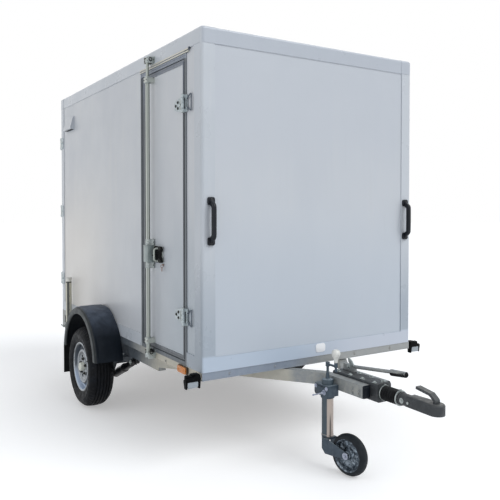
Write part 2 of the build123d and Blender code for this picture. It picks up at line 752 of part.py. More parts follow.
# ------------------------------------------------------------------ frame under the body
FRAME_Z_LIMITS = (FRAME_BOTTOM, BOX_BOTTOM)
SILL_Y = (SIDE_Y - SILL_INSET - SILL_WIDTH, SIDE_Y - SILL_INSET)
with BuildPart() as sill_right:
    block((REAR_X + SILL_INSET, FRONT_X - SILL_INSET), (-SILL_Y[1], -SILL_Y[0]), FRAME_Z_LIMITS)
write(sill_right, "sill_right")
write(mirrored(sill_right), "sill_left")

with BuildPart() as crossmembers:
    first = REAR_X + SILL_INSET
    step = (BOX_LENGTH - 2 * SILL_INSET - CROSS_WIDTH) / (CROSS_COUNT - 1)
    for index in range(CROSS_COUNT):
        back = first + index * step
        block((back, back + CROSS_WIDTH), (-SILL_Y[0], SILL_Y[0]), FRAME_Z_LIMITS)
write(crossmembers, "crossmembers")

BEAM_Y = BEAM_OUTER_Y - BEAM_WIDTH / 2
ARM_SIDE_Y = (ARM_INNER_GAP + ARM_WIDTH) / 2
with BuildPart() as drawbar_right:
    block(
        (REAR_X + BEAM_REAR, FRONT_X - BEAM_AHEAD),
        (-BEAM_OUTER_Y, -BEAM_OUTER_Y + BEAM_WIDTH),
        (BEAM_BOTTOM, FRAME_BOTTOM),
    )
    with BuildSketch(Plane.XY.offset(ARM_Z - ARM_HEIGHT / 2)):
        with BuildLine():
            Polyline(
                (FRONT_X - BEAM_AHEAD - ARM_OVERLAP, -BEAM_Y),
                (FRONT_X - BEAM_AHEAD, -BEAM_Y),
                (FRONT_X + ARM_BEND_REACH, -ARM_SIDE_Y),
                (FRONT_X + ARM_TIP_REACH, -ARM_SIDE_Y),
            )
        trace(line_width=ARM_WIDTH)
    extrude(amount=ARM_HEIGHT)
write(drawbar_right, "drawbar_right")
write(mirrored(drawbar_right), "drawbar_left")

# ------------------------------------------------------------------ coupling
with BuildPart() as overrun_housing:
    block(
        (FRONT_X + HOUSING_BACK, FRONT_X + HOUSING_FRONT),
        (-ARM_INNER_GAP / 2, ARM_INNER_GAP / 2),
        (ARM_Z - HOUSING_HEIGHT / 2, ARM_Z + HOUSING_HEIGHT / 2),
    )
    fillet(overrun_housing.edges().filter_by(Axis.X), HOUSING_ROUND)
    collar = (FRONT_X + HOUSING_FRONT - COLLAR_LENGTH, 0, ARM_Z)
    bar(collar, (FRONT_X + HOUSING_FRONT, 0, ARM_Z), COLLAR_RADIUS)
    bar(collar, (FRONT_X + HEAD_BACK, 0, ARM_Z), SHAFT_RADIUS)
write(overrun_housing, "overrun_housing")

with BuildPart() as coupling_gaiter:
    fold = (HEAD_BACK - HOUSING_FRONT) / GAITER_FOLDS
    crease = GAITER_RADIUS - GAITER_CREASE
    start = Plane(origin=(FRONT_X + HOUSING_FRONT, 0, ARM_Z), x_dir=(1, 0, 0), z_dir=(0, -1, 0))
    with BuildSketch(start):
        with BuildLine():
            outline = [(0, SHAFT_RADIUS)]
            for index in range(GAITER_FOLDS):
                outline.append((index * fold, crease))
                outline.append(((index + 0.5) * fold, GAITER_RADIUS))
            outline.append((GAITER_FOLDS * fold, crease))
            outline.append((GAITER_FOLDS * fold, SHAFT_RADIUS))
            Polyline(*outline, close=True)
        make_face()
    revolve(axis=Axis((0, 0, ARM_Z), (1, 0, 0)))
write(coupling_gaiter, "coupling_gaiter")

BALL_X = FRONT_X + COUPLING_REACH - CUP_RADIUS
SLEEVE_END = FRONT_X + HEAD_BACK + HEAD_TUBE
with BuildPart() as coupling_head:
    with BuildSketch(Plane.XY.offset(ARM_Z - SOCKET_DEPTH)):
        with BuildLine():
            Polyline(
                (SLEEVE_END - HEAD_OVERLAP, -HEAD_WIDTH / 2),
                (BALL_X, -CUP_RADIUS),
                (BALL_X, CUP_RADIUS),
                (SLEEVE_END - HEAD_OVERLAP, HEAD_WIDTH / 2),
                close=True,
            )
        make_face()
        with Locations((BALL_X, 0)):
            Circle(CUP_RADIUS)
    extrude(amount=SOCKET_DEPTH + HEAD_HEIGHT)
    upper = coupling_head.faces().filter_by(Axis.Z).sort_by(Axis.Z)[-1]
    fillet(upper.edges(), HOUSING_ROUND)
    bar((FRONT_X + HEAD_BACK, 0, ARM_Z), (SLEEVE_END, 0, ARM_Z), HEAD_TUBE_RADIUS)
    with BuildSketch(Plane.XZ.offset(-GRIP_WIDTH / 2)):
        with BuildLine() as handle:
            FilletPolyline(
                (BALL_X, ARM_Z + HEAD_HEIGHT - GRIP_THICK),
                (BALL_X, ARM_Z + HEAD_HEIGHT + GRIP_THICK),
                (BALL_X - GRIP_ROOT, ARM_Z + HEAD_HEIGHT + GRIP_RISE - GRIP_THICK),
                (BALL_X - GRIP_LENGTH, ARM_Z + HEAD_HEIGHT + GRIP_RISE),
                radius=GRIP_THICK / 2,
            )
        trace(line_width=GRIP_THICK)
    extrude(amount=GRIP_WIDTH)
    with Locations((BALL_X, 0, ARM_Z)):
        Sphere(SOCKET_RADIUS, mode=Mode.SUBTRACT)
    with Locations((BALL_X, 0, ARM_Z - SOCKET_DEPTH)):
        Cylinder(
            SOCKET_RADIUS,
            SOCKET_DEPTH,
            align=(Align.CENTER, Align.CENTER, Align.MIN),
            mode=Mode.SUBTRACT,
        )
write(coupling_head, "coupling_head")

with BuildPart() as handbrake_lever:
    pivot_x = FRONT_X + HOUSING_BACK + LEVER_BACK
    base = ARM_Z + HOUSING_HEIGHT / 2
    pivot_z = base + LEVER_PIVOT_RISE
    grip_x = pivot_x + LEVER_LENGTH
    grip_z = pivot_z + LEVER_RISE
    block(
        (pivot_x - LEVER_BRACKET / 2, pivot_x + LEVER_BRACKET / 2),
        (LEVER_SIDE - LEVER_BRACKET_WIDTH / 2, LEVER_SIDE + LEVER_BRACKET_WIDTH / 2),
        (base, base + LEVER_BRACKET_HEIGHT),
    )
    bar((pivot_x, LEVER_SIDE, pivot_z), (grip_x, LEVER_SIDE, grip_z), LEVER_RADIUS)
    tip = (grip_x + LEVER_GRIP_LENGTH, LEVER_SIDE, grip_z + LEVER_GRIP_RISE)
    bar((grip_x, LEVER_SIDE, grip_z), tip, LEVER_GRIP_RADIUS)
write(handbrake_lever, "handbrake_lever")

# ------------------------------------------------------------------ running gear
ARM_OUTER_Y = SIDE_Y + ARM_OUTSET
HUB_FACE_Y = WHEEL_Y + DISC_OUTSET
DRUM_BACK_Y = HUB_FACE_Y - DRUM_WIDTH - DRUM_INSET
SHOCK_Y = SIDE_Y - ARM_THICK - SHOCK_RADIUS - SHOCK_GAP
SHOCK_LOW = (WHEEL_X + SHOCK_LOW_AHEAD, -SHOCK_Y, WHEEL_Z - SHOCK_LOW_DROP)
SHOCK_TOP = (WHEEL_X + SHOCK_TOP_AHEAD, -SHOCK_Y, BEAM_BOTTOM - SHOCK_TOP_DROP)
with BuildPart() as axle:
    with BuildSketch(Plane.XZ.offset(-SIDE_Y + ARM_THICK)):
        with Locations((AXLE_X, AXLE_Z)):
            RegularPolygon(AXLE_TUBE, 6, major_radius=False)
    extrude(amount=2 * (SIDE_Y - ARM_THICK))
    for beam in (-BEAM_Y, BEAM_Y):
        block(
            (AXLE_X - AXLE_PAD / 2, AXLE_X + AXLE_PAD / 2),
            (beam - BEAM_WIDTH / 2, beam + BEAM_WIDTH / 2),
            (BEAM_BOTTOM - AXLE_PAD_THICK, BEAM_BOTTOM),
        )
    with BuildSketch(Plane.XZ.offset(SIDE_Y - ARM_THICK)):
        with Locations((AXLE_X, AXLE_Z)):
            Circle(ARM_BOSS)
        with Locations((WHEEL_X, WHEEL_Z)):
            Circle(SPINDLE_BOSS)
        with Locations((SHOCK_LOW[0], SHOCK_LOW[2])):
            Circle(SHOCK_EYE)
        make_hull()
    extrude(amount=ARM_THICK + ARM_OUTSET)
    arm_face = (WHEEL_X, -ARM_OUTER_Y, WHEEL_Z)
    shoulder = (WHEEL_X, -DRUM_BACK_Y + BACKPLATE_GAP, WHEEL_Z)
    bar(arm_face, (WHEEL_X, -HUB_FACE_Y + SPINDLE_CLEAR, WHEEL_Z), SPINDLE_RADIUS)
    bar(arm_face, shoulder, SHOULDER_RADIUS)
    backplate = (WHEEL_X, shoulder[1] + BACKPLATE, WHEEL_Z)
    bar(backplate, shoulder, DRUM_RADIUS - BACKPLATE)
    mirror(about=Plane.XZ)
write(axle, "axle")

with BuildPart() as shock_absorber_right:
    middle = tuple((a + b) / 2 for a, b in zip(SHOCK_TOP, SHOCK_LOW))
    bar(SHOCK_TOP, SHOCK_LOW, SHOCK_SLEEVE)
    bar(middle, SHOCK_LOW, SHOCK_RADIUS)
    for eye in (SHOCK_TOP, SHOCK_LOW):
        reach = SHOCK_RADIUS + SHOCK_GAP
        bar((eye[0], eye[1] - reach, eye[2]), (eye[0], eye[1] + reach, eye[2]), SHOCK_EYE)
    block(
        (SHOCK_TOP[0] - SHOCK_BRACKET / 2, SHOCK_TOP[0] + SHOCK_BRACKET / 2),
        (-BEAM_OUTER_Y, -BEAM_OUTER_Y + SHOCK_BRACKET_THICK),
        (SHOCK_TOP[2] - SHOCK_EYE, BEAM_BOTTOM),
    )
write(shock_absorber_right, "shock_absorber_right")
write(mirrored(shock_absorber_right), "shock_absorber_left")

WHEEL_PLANE = Plane(origin=(WHEEL_X, -WHEEL_Y, WHEEL_Z), x_dir=(0, 0, 1), z_dir=(1, 0, 0))
WHEEL_AXIS = Axis((WHEEL_X, -WHEEL_Y, WHEEL_Z), (0, 1, 0))


def wheel_ring(points):
    """Revolve points of radius and outboard distance round the wheel's axis."""
    with BuildSketch(WHEEL_PLANE) as profile:
        with BuildLine():
            Polyline(*points, close=True)
        make_face()
    revolve(profile.sketch, axis=WHEEL_AXIS)


with BuildPart() as tyre_right:
    half = TYRE_WIDTH / 2
    bead = RIM_HALF - RIM_FLANGE
    foot = RIM_RADIUS + 1
    bulge = (RIM_RADIUS + TYRE_RADIUS) / 2 + TYRE_BULGE
    shoulder = (TYRE_RADIUS - TYRE_SHOULDER, TYRE_TREAD / 2 + TYRE_SHOULDER_OUT)
    edge = (TYRE_RADIUS - TYRE_CROWN, TYRE_TREAD / 2 - TYRE_EDGE_IN)
    with BuildSketch(WHEEL_PLANE):
        with BuildLine():
            Polyline((foot, -bead), (RIM_SEAT, -bead), (RIM_SEAT, bead), (foot, bead))
            ThreePointArc((foot, bead), (bulge, half), shoulder)
            Line(shoulder, edge)
            ThreePointArc(edge, (TYRE_RADIUS, 0), (edge[0], -edge[1]))
            Line((edge[0], -edge[1]), (shoulder[0], -shoulder[1]))
            ThreePointArc((shoulder[0], -shoulder[1]), (bulge, -half), (foot, -bead))
        make_face()
    revolve(axis=WHEEL_AXIS)
write(tyre_right, "tyre_right")
write(mirrored(tyre_right), "tyre_left")

with BuildPart() as rim_right:
    lip = RIM_HALF - RIM_FLANGE
    wheel_ring(
        [
            (RIM_RADIUS, -RIM_HALF),
            (RIM_RADIUS, -lip),
            (RIM_SEAT, -lip),
            (RIM_SEAT, lip),
            (RIM_RADIUS, lip),
            (RIM_RADIUS, RIM_HALF),
            (RIM_INNER, RIM_HALF - RIM_LIP),
            (RIM_INNER, -RIM_HALF + RIM_LIP),
        ]
    )
    face = DISC_OUTSET + DISC_THICK
    wheel_ring(
        [
            (RIM_INNER + 1, face - DISC_DROP),
            (RIM_INNER + 1, face - DISC_DROP - DISC_THICK),
            (DISC_RIDGE_END, DISC_OUTSET + DISC_RIDGE_RISE),
            (DISC_RIDGE, DISC_OUTSET + DISC_RIDGE_RISE),
            (DISC_FLAT, DISC_OUTSET),
            (DISC_BORE, DISC_OUTSET),
            (DISC_BORE, face),
            (DISC_FLAT, face),
            (DISC_RIDGE, face + DISC_RIDGE_RISE),
            (DISC_RIDGE_END, face + DISC_RIDGE_RISE),
        ]
    )
write(rim_right, "rim_right")
write(mirrored(rim_right), "rim_left")

with BuildPart() as hub_right:
    drum_back = DISC_OUTSET - DRUM_WIDTH - DRUM_INSET + BACKPLATE_GAP
    bore = SPINDLE_RADIUS + SPINDLE_FIT
    wheel_ring(
        [
            (bore, drum_back),
            (DRUM_RADIUS, drum_back),
            (DRUM_RADIUS, DISC_OUTSET - DRUM_INSET),
            (HUB_RADIUS, DISC_OUTSET - DRUM_INSET),
            (HUB_RADIUS, DISC_OUTSET),
            (HUB_CAP_RADIUS, DISC_OUTSET),
            (HUB_CAP_RADIUS, DISC_OUTSET + HUB_CAP_LENGTH - HUB_CAP_EDGE),
            (HUB_CAP_RADIUS - HUB_CAP_EDGE, DISC_OUTSET + HUB_CAP_LENGTH),
            (0, DISC_OUTSET + HUB_CAP_LENGTH),
            (0, DISC_OUTSET + HUB_CAP_ROOM),
            (bore, DISC_OUTSET + HUB_CAP_ROOM),
        ]
    )
write(hub_right, "hub_right")
write(mirrored(hub_right), "hub_left")

# ------------------------------------------------------------------ mudguards
FENDER_X = WHEEL_X + FENDER_AHEAD
FENDER_Z = WHEEL_Z + FENDER_RISE


def arch(radius, width, rounding):
    """Half-round block over a wheel, cut level at its lower ends."""
    with BuildPart() as solid:
        with BuildSketch(Plane.XZ.offset(SIDE_Y)):
            with Locations((FENDER_X, FENDER_Z)):
                Circle(radius)
            below = (Align.CENTER, Align.MAX)
            with Locations((FENDER_X, WHEEL_Z + FENDER_END)):
                Rectangle(2 * radius, 2 * radius, align=below, mode=Mode.SUBTRACT)
        extrude(amount=width)
        fillet(solid.edges().filter_by(GeomType.CIRCLE).sort_by(Axis.Y)[0], rounding)
    return solid.part


fender_outside = arch(FENDER_RADIUS, FENDER_WIDTH, FENDER_ROUND)
fender_hollow = arch(
    FENDER_RADIUS - FENDER_SKIN, FENDER_WIDTH - FENDER_SKIN, FENDER_ROUND - FENDER_SKIN
)
with BuildPart() as fender_right:
    add(fender_outside)
    add(fender_hollow, mode=Mode.SUBTRACT)
    with Locations((FENDER_X, -SIDE_Y - FENDER_WIDTH, FENDER_Z)):
        Cylinder(
            FENDER_RADIUS - FENDER_SKIRT,
            2 * FENDER_ROUND,
            rotation=(90, 0, 0),
            mode=Mode.SUBTRACT,
        )
write(fender_right, "fender_right")
write(mirrored(fender_right), "fender_left")

with BuildPart() as mudflaps:
    top = FENDER_END + FLAP_GRIP
    flap_x = FENDER_X - sqrt(FENDER_RADIUS**2 - (FENDER_END - FENDER_RISE) ** 2)
    inner = SIDE_Y + FLAP_INSET
    block(
        (flap_x - FLAP_THICK, flap_x),
        (-inner - FLAP_WIDTH, -inner),
        (WHEEL_Z + top - FLAP_HEIGHT, WHEEL_Z + top),
    )
    mirror(about=Plane.XZ)
write(mudflaps, "mudflaps")

# ------------------------------------------------------------------ jockey wheel
CLAMP_Z = (BOX_BOTTOM - CLAMP_TOP - CLAMP_HEIGHT, BOX_BOTTOM - CLAMP_TOP)
TUBE_TOP_Z = BOX_BOTTOM - JOCKEY_TUBE_DROP


def stand_bar(low, high, radius, mode=Mode.ADD):
    """Upright round bar on the jockey stand's own line."""
    bar((JOCKEY_X, JOCKEY_Y, low), (JOCKEY_X, JOCKEY_Y, high), radius, mode=mode)


with BuildPart() as jockey_clamp:
    outer = JOCKEY_TUBE + CLAMP_GAP + CLAMP_WALL
    arm_face = -ARM_SIDE_Y - ARM_WIDTH / 2
    along = (JOCKEY_X - CLAMP_BEHIND, JOCKEY_X + CLAMP_AHEAD)
    block(along, (JOCKEY_Y - outer, arm_face), CLAMP_Z)
    outboard = jockey_clamp.edges().filter_by(Axis.Z).sort_by(Axis.Y)[:2]
    fillet(outboard, radius=CLAMP_ROUND)
    stand_bar(*CLAMP_Z, JOCKEY_TUBE + CLAMP_GAP, mode=Mode.SUBTRACT)
write(jockey_clamp, "jockey_clamp")

with BuildPart() as jockey_tube:
    stand_bar(JOCKEY_TUBE_FOOT, TUBE_TOP_Z, JOCKEY_TUBE)
    bore_top = TUBE_TOP_Z - JOCKEY_TUBE_CAP
    stand_bar(JOCKEY_TUBE_FOOT - 1, bore_top, JOCKEY_INNER + JOCKEY_FIT, mode=Mode.SUBTRACT)
    crank_z = TUBE_TOP_Z + CRANK_LEVEL
    crank_x = JOCKEY_X + CRANK_REACH
    stand_bar(TUBE_TOP_Z, crank_z, SCREW_RADIUS)
    stand_bar(crank_z - CRANK_BOSS, crank_z + CRANK_BOSS, CRANK_BOSS)
    bar((JOCKEY_X, JOCKEY_Y, crank_z), (crank_x, JOCKEY_Y, crank_z), CRANK_RADIUS)
    knob = (crank_x, JOCKEY_Y, crank_z + KNOB_RISE)
    bar((crank_x, JOCKEY_Y, crank_z - CRANK_PIN_BELOW), (crank_x, JOCKEY_Y, crank_z), CRANK_RADIUS)
    bar((crank_x, JOCKEY_Y, crank_z - CRANK_RADIUS), knob, CRANK_STEM_RADIUS)
    with Locations(knob):
        Sphere(KNOB_RADIUS)
write(jockey_tube, "jockey_tube")

YAW = radians(JOCKEY_YAW)
AHEAD = (cos(YAW), sin(YAW), 0)
FORK_PLANE = Plane(origin=(JOCKEY_X, JOCKEY_Y, 0), x_dir=AHEAD, z_dir=(0, 0, 1))
FORK_SIDE = Plane(origin=(JOCKEY_X, JOCKEY_Y, 0), x_dir=AHEAD, z_dir=(sin(YAW), -cos(YAW), 0))
FORK_INNER = JOCKEY_WIDTH / 2 + FORK_GAP
with BuildPart() as jockey_fork:
    yoke_top = JOCKEY_TUBE_FOOT - YOKE_CLEAR
    stand_bar(yoke_top - YOKE_LAP, TUBE_TOP_Z - INNER_TUBE_DROP, JOCKEY_INNER)
    with Locations(FORK_PLANE):
        wide = FORK_INNER + FORK_PLATE
        block((-FORK_BACK, FORK_HALF), (-wide, wide), (yoke_top - YOKE_THICK, yoke_top))
    stand_bar(yoke_top - YOKE_THICK, yoke_top, JOCKEY_TUBE)
    for side in (-1, 1):
        with BuildSketch(FORK_SIDE.offset(side * FORK_INNER)):
            with Locations((JOCKEY_TRAIL, JOCKEY_RADIUS)):
                Circle(FORK_TOE)
            with BuildLine():
                Polyline(
                    (-FORK_BACK, yoke_top),
                    (FORK_HALF, yoke_top),
                    (JOCKEY_TRAIL, JOCKEY_RADIUS + FORK_TOE),
                    (JOCKEY_TRAIL, JOCKEY_RADIUS - FORK_TOE),
                    (FORK_HALF / 2, JOCKEY_RADIUS - FORK_HEEL),
                    (-FORK_BACK, JOCKEY_RADIUS),
                    close=True,
                )
            make_face()
        extrude(amount=side * FORK_PLATE)
    with Locations(FORK_SIDE):
        ends = FORK_INNER + FORK_PLATE + FORK_NUT
        bar((JOCKEY_TRAIL, JOCKEY_RADIUS, -ends), (JOCKEY_TRAIL, JOCKEY_RADIUS, ends), JOCKEY_AXLE)
write(jockey_fork, "jockey_fork")

JOCKEY_AXIS_ORIGIN = FORK_SIDE.from_local_coords((JOCKEY_TRAIL, JOCKEY_RADIUS, 0))
JOCKEY_WHEEL = Plane(origin=JOCKEY_AXIS_ORIGIN, x_dir=(0, 0, 1), z_dir=FORK_PLANE.x_dir)
JOCKEY_SPIN = Axis(JOCKEY_AXIS_ORIGIN, FORK_SIDE.z_dir)
JOCKEY_HALF = JOCKEY_WIDTH / 2

with BuildPart() as jockey_tyre:
    edge = JOCKEY_RADIUS - JOCKEY_BELLY
    with BuildSketch(JOCKEY_WHEEL):
        with BuildLine():
            Polyline(
                (edge, -JOCKEY_HALF),
                (JOCKEY_RIM, -JOCKEY_HALF),
                (JOCKEY_RIM, JOCKEY_HALF),
                (edge, JOCKEY_HALF),
            )
            ThreePointArc((edge, -JOCKEY_HALF), (JOCKEY_RADIUS, 0), (edge, JOCKEY_HALF))
        make_face()
    revolve(axis=JOCKEY_SPIN)
write(jockey_tyre, "jockey_tyre")

with BuildPart() as jockey_rim:
    bore = JOCKEY_AXLE + JOCKEY_FIT
    boss = JOCKEY_HALF - JOCKEY_BOSS_INSET
    web = JOCKEY_HALF - JOCKEY_WEB_INSET
    with BuildSketch(JOCKEY_WHEEL):
        with BuildLine():
            Polyline(
                (bore, -boss),
                (JOCKEY_BOSS, -boss),
                (JOCKEY_WEB, -web),
                (JOCKEY_RIM - JOCKEY_FLANGE, -web),
                (JOCKEY_RIM, -JOCKEY_HALF),
                (JOCKEY_RIM, JOCKEY_HALF),
                (JOCKEY_RIM - JOCKEY_FLANGE, web),
                (JOCKEY_WEB, web),
                (JOCKEY_BOSS, boss),
                (bore, boss),
                close=True,
            )
        make_face()
    revolve(axis=JOCKEY_SPIN)
write(jockey_rim, "jockey_rim")

# ------------------------------------------------------------------ rear prop legs
LEG_TOP_Z = BOX_BOTTOM + LEG_TOP


def leg_bar(low, high, radius, mode=Mode.ADD):
    """Upright round bar on the right leg's own line."""
    bar((LEG_X, -LEG_Y, low), (LEG_X, -LEG_Y, high), radius, mode=mode)


with BuildPart() as prop_leg_right:
    leg_bar(LEG_FOOT_HEIGHT, LEG_TOP_Z - LEG_CAP, LEG_RADIUS)
    leg_bar(LEG_TOP_Z - LEG_CAP, LEG_TOP_Z, LEG_RADIUS + LEG_CAP_PROUD)
    leg_bar(LEG_FOOT_HEIGHT, LEG_FOOT_HEIGHT + LEG_FOOT_THICK, LEG_FOOT)
write(prop_leg_right, "prop_leg_right")
write(mirrored(prop_leg_right), "prop_leg_left")

with BuildPart() as prop_leg_clamps:
    high = BOX_BOTTOM - LEG_CLAMP_TOP
    low = high - LEG_CLAMP_HEIGHT
    bore = LEG_RADIUS + CLAMP_GAP
    along = (LEG_X - LEG_CLAMP_LENGTH / 2, LEG_X + LEG_CLAMP_LENGTH / 2)
    leg_bar(low, high, bore + LEG_CLAMP_WALL)
    block(along, (-LEG_Y, -BEAM_OUTER_Y), (low, high))
    leg_bar(low, high, bore, mode=Mode.SUBTRACT)
    mirror(about=Plane.XZ)
write(prop_leg_clamps, "prop_leg_clamps")

# ------------------------------------------------------------------ lamps, plate, vents
with BuildPart() as position_lamps:
    inner = -SIDE_Y - LAMP_OUT
    outer = inner - LAMP_WIDTH
    lamp_top = BOX_BOTTOM - LAMP_DROP
    block((FRONT_X - LAMP_DEPTH, FRONT_X), (outer, inner), (lamp_top - LAMP_HEIGHT, lamp_top))
    fillet(position_lamps.edges().filter_by(Axis.X), LAMP_ROUND)
    block(
        (FRONT_X - LAMP_DEPTH + LAMP_ARM_INSET, FRONT_X - LAMP_ARM_INSET),
        (outer + LAMP_ARM_MARGIN, -SILL_Y[1]),
        (lamp_top, BOX_BOTTOM - LAMP_ARM_CLEAR),
    )
    mirror(about=Plane.XZ)
write(position_lamps, "position_lamps")

with BuildPart() as side_markers:
    x = FRONT_X - MARKER_AHEAD
    top = BOX_BOTTOM - MARKER_DROP
    block(
        (x - MARKER_LENGTH, x),
        (-SILL_Y[1] - MARKER_DEPTH, -SILL_Y[1]),
        (top - MARKER_HEIGHT, top),
    )
    mirror(about=Plane.XZ)
write(side_markers, "side_markers")

LAMP_TOP = FRAME_BOTTOM - REAR_LAMP_DROP
BAR_BACK = REAR_X + SILL_INSET
with BuildPart() as rear_lamps:
    block(
        (BAR_BACK - REAR_LAMP_DEPTH, BAR_BACK),
        (-SIDE_Y + REAR_LAMP_INSET, -SIDE_Y + REAR_LAMP_INSET + REAR_LAMP_WIDTH),
        (LAMP_TOP - REAR_LAMP_HEIGHT, LAMP_TOP),
    )
    fillet(rear_lamps.edges().filter_by(Axis.X), REAR_LAMP_ROUND)
    mirror(about=Plane.XZ)
write(rear_lamps, "rear_lamps")

with BuildPart() as rear_bar:
    low = LAMP_TOP - REAR_LAMP_HEIGHT - REAR_BAR_MARGIN
    block((BAR_BACK, REAR_X + BEAM_REAR), (-SILL_Y[1], SILL_Y[1]), (low, FRAME_BOTTOM))
write(rear_bar, "rear_bar")

with BuildPart() as number_plate:
    block(
        (BAR_BACK - PLATE_THICK, BAR_BACK),
        (-PLATE_WIDTH / 2, PLATE_WIDTH / 2),
        (LAMP_TOP - PLATE_HEIGHT, LAMP_TOP),
    )
write(number_plate, "number_plate")

with BuildPart() as vent_cowls:
    high = BOX_TOP - VENT_DROP
    low = high - VENT_HEIGHT
    face = -PANEL_Y[1]
    lip = face - PANEL_INSET - VENT_DEPTH
    with BuildSketch(Plane.YZ.offset(REAR_X + VENT_AHEAD)):
        with BuildLine():
            Polyline(
                (face, low),
                (lip, low),
                (lip, low + VENT_LIP),
                (face - VENT_TOP_DEPTH, high),
                (face, high),
                close=True,
            )
        make_face()
    extrude(amount=VENT_LENGTH)
    mirror(about=Plane.XZ)
write(vent_cowls, "vent_cowls")

# ------------------------------------------------------------------ grab handles
with BuildPart() as grab_handles:
    low = BOX_BOTTOM + GRAB_LOW
    high = low + GRAB_LENGTH
    grab_y = -SIDE_Y + GRAB_INSET
    for foot in (low + GRAB_FOOT_LENGTH / 2, high - GRAB_FOOT_LENGTH / 2):
        with BuildSketch(Plane.YZ.offset(FRONT_X)):
            with Locations((grab_y, foot)):
                RectangleRounded(GRAB_FOOT_WIDTH, GRAB_FOOT_LENGTH, GRAB_ROUND)
        extrude(amount=GRAB_FOOT_THICK)
    with BuildSketch(Plane.XZ.offset(-grab_y - GRAB_BAR_WIDTH / 2)):
        with BuildLine():
            reach = FRONT_X + GRAB_DEPTH - GRAB_BAR / 2
            FilletPolyline(
                (FRONT_X + GRAB_BAR / 2, low + GRAB_FOOT_LENGTH / 2),
                (reach, low + GRAB_RAMP),
                (reach, high - GRAB_RAMP),
                (FRONT_X + GRAB_BAR / 2, high - GRAB_FOOT_LENGTH / 2),
                radius=GRAB_BEND,
            )
        trace(line_width=GRAB_BAR)
    extrude(amount=GRAB_BAR_WIDTH)
    mirror(about=Plane.XZ)
write(grab_handles, "grab_handles")
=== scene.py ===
"""Looks of the enclosed single-axle trailer: finishes, fittings and small detail over its CAD frame.

Everything is in metres in the frame's own axes: +X to the drawbar, +Y to the trailer's left, +Z up.
"""

import math

import bmesh
import bpy
from mathutils import Matrix, Vector


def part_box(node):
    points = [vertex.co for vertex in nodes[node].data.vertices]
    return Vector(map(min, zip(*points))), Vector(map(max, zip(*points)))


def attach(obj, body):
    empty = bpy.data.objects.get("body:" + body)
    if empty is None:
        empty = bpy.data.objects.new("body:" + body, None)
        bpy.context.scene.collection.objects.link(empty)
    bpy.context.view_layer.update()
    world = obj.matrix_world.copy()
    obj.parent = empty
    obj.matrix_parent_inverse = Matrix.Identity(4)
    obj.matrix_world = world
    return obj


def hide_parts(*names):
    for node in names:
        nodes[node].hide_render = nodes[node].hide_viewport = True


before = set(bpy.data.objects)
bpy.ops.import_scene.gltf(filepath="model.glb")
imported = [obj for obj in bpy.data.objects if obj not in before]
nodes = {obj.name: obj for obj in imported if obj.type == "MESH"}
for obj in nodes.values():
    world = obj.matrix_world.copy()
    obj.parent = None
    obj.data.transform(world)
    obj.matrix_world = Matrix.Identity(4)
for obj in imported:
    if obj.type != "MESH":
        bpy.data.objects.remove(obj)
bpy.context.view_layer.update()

X, Y, Z = Vector((1, 0, 0)), Vector((0, 1, 0)), Vector((0, 0, 1))
WHEEL_AXIS = (-0.695, 0, 0.2945)               # the road wheels' line, seen from the side
HUB_STAND = 0.032                              # how far a hub stands out of its disc
LOCK_FOOT, LOCK_HEAD = 0.57, 0.675             # the locks' ends, above the body's foot
KEEPER_DROP = 0.062                            # the upper keepers, below the body's top
REAR_ROD = 0.154                               # the rear lock rods, from the middle
REAR_LAMP_END = -0.53                          # the right rear lamp's inboard end
KNUCKLE_NEAR, KNUCKLE_FAR = 0.0305, 0.05       # ends of a fixed knuckle, from its hinge's middle
KNUCKLE_MIDDLE = 0.0402
JOCKEY_YAW = math.radians(10)                  # how far the jockey wheel is turned at rest
COVER_LOW, COVER_HIGH = (-0.01, 0.587), (0.063, 0.64)     # corners of the white cover on the front rail
MIX_SHARE, MIX_FIRST, MIX_SECOND, MIX_RESULT = 0, 6, 7, 2     # sockets of a colour mix
FLOOR_RADIUS, FLOOR_GLOW = 80, 0.36


# ------------------------------------------------------------------------------ finishes
def linear(colour):
    """An sRGB colour, 0 to 255, as the linear RGBA that a socket takes."""
    steps = [c / 255 for c in colour]
    return tuple(c / 12.92 if c <= 0.04045 else ((c + 0.055) / 1.055) ** 2.4 for c in steps) + (1.0,)


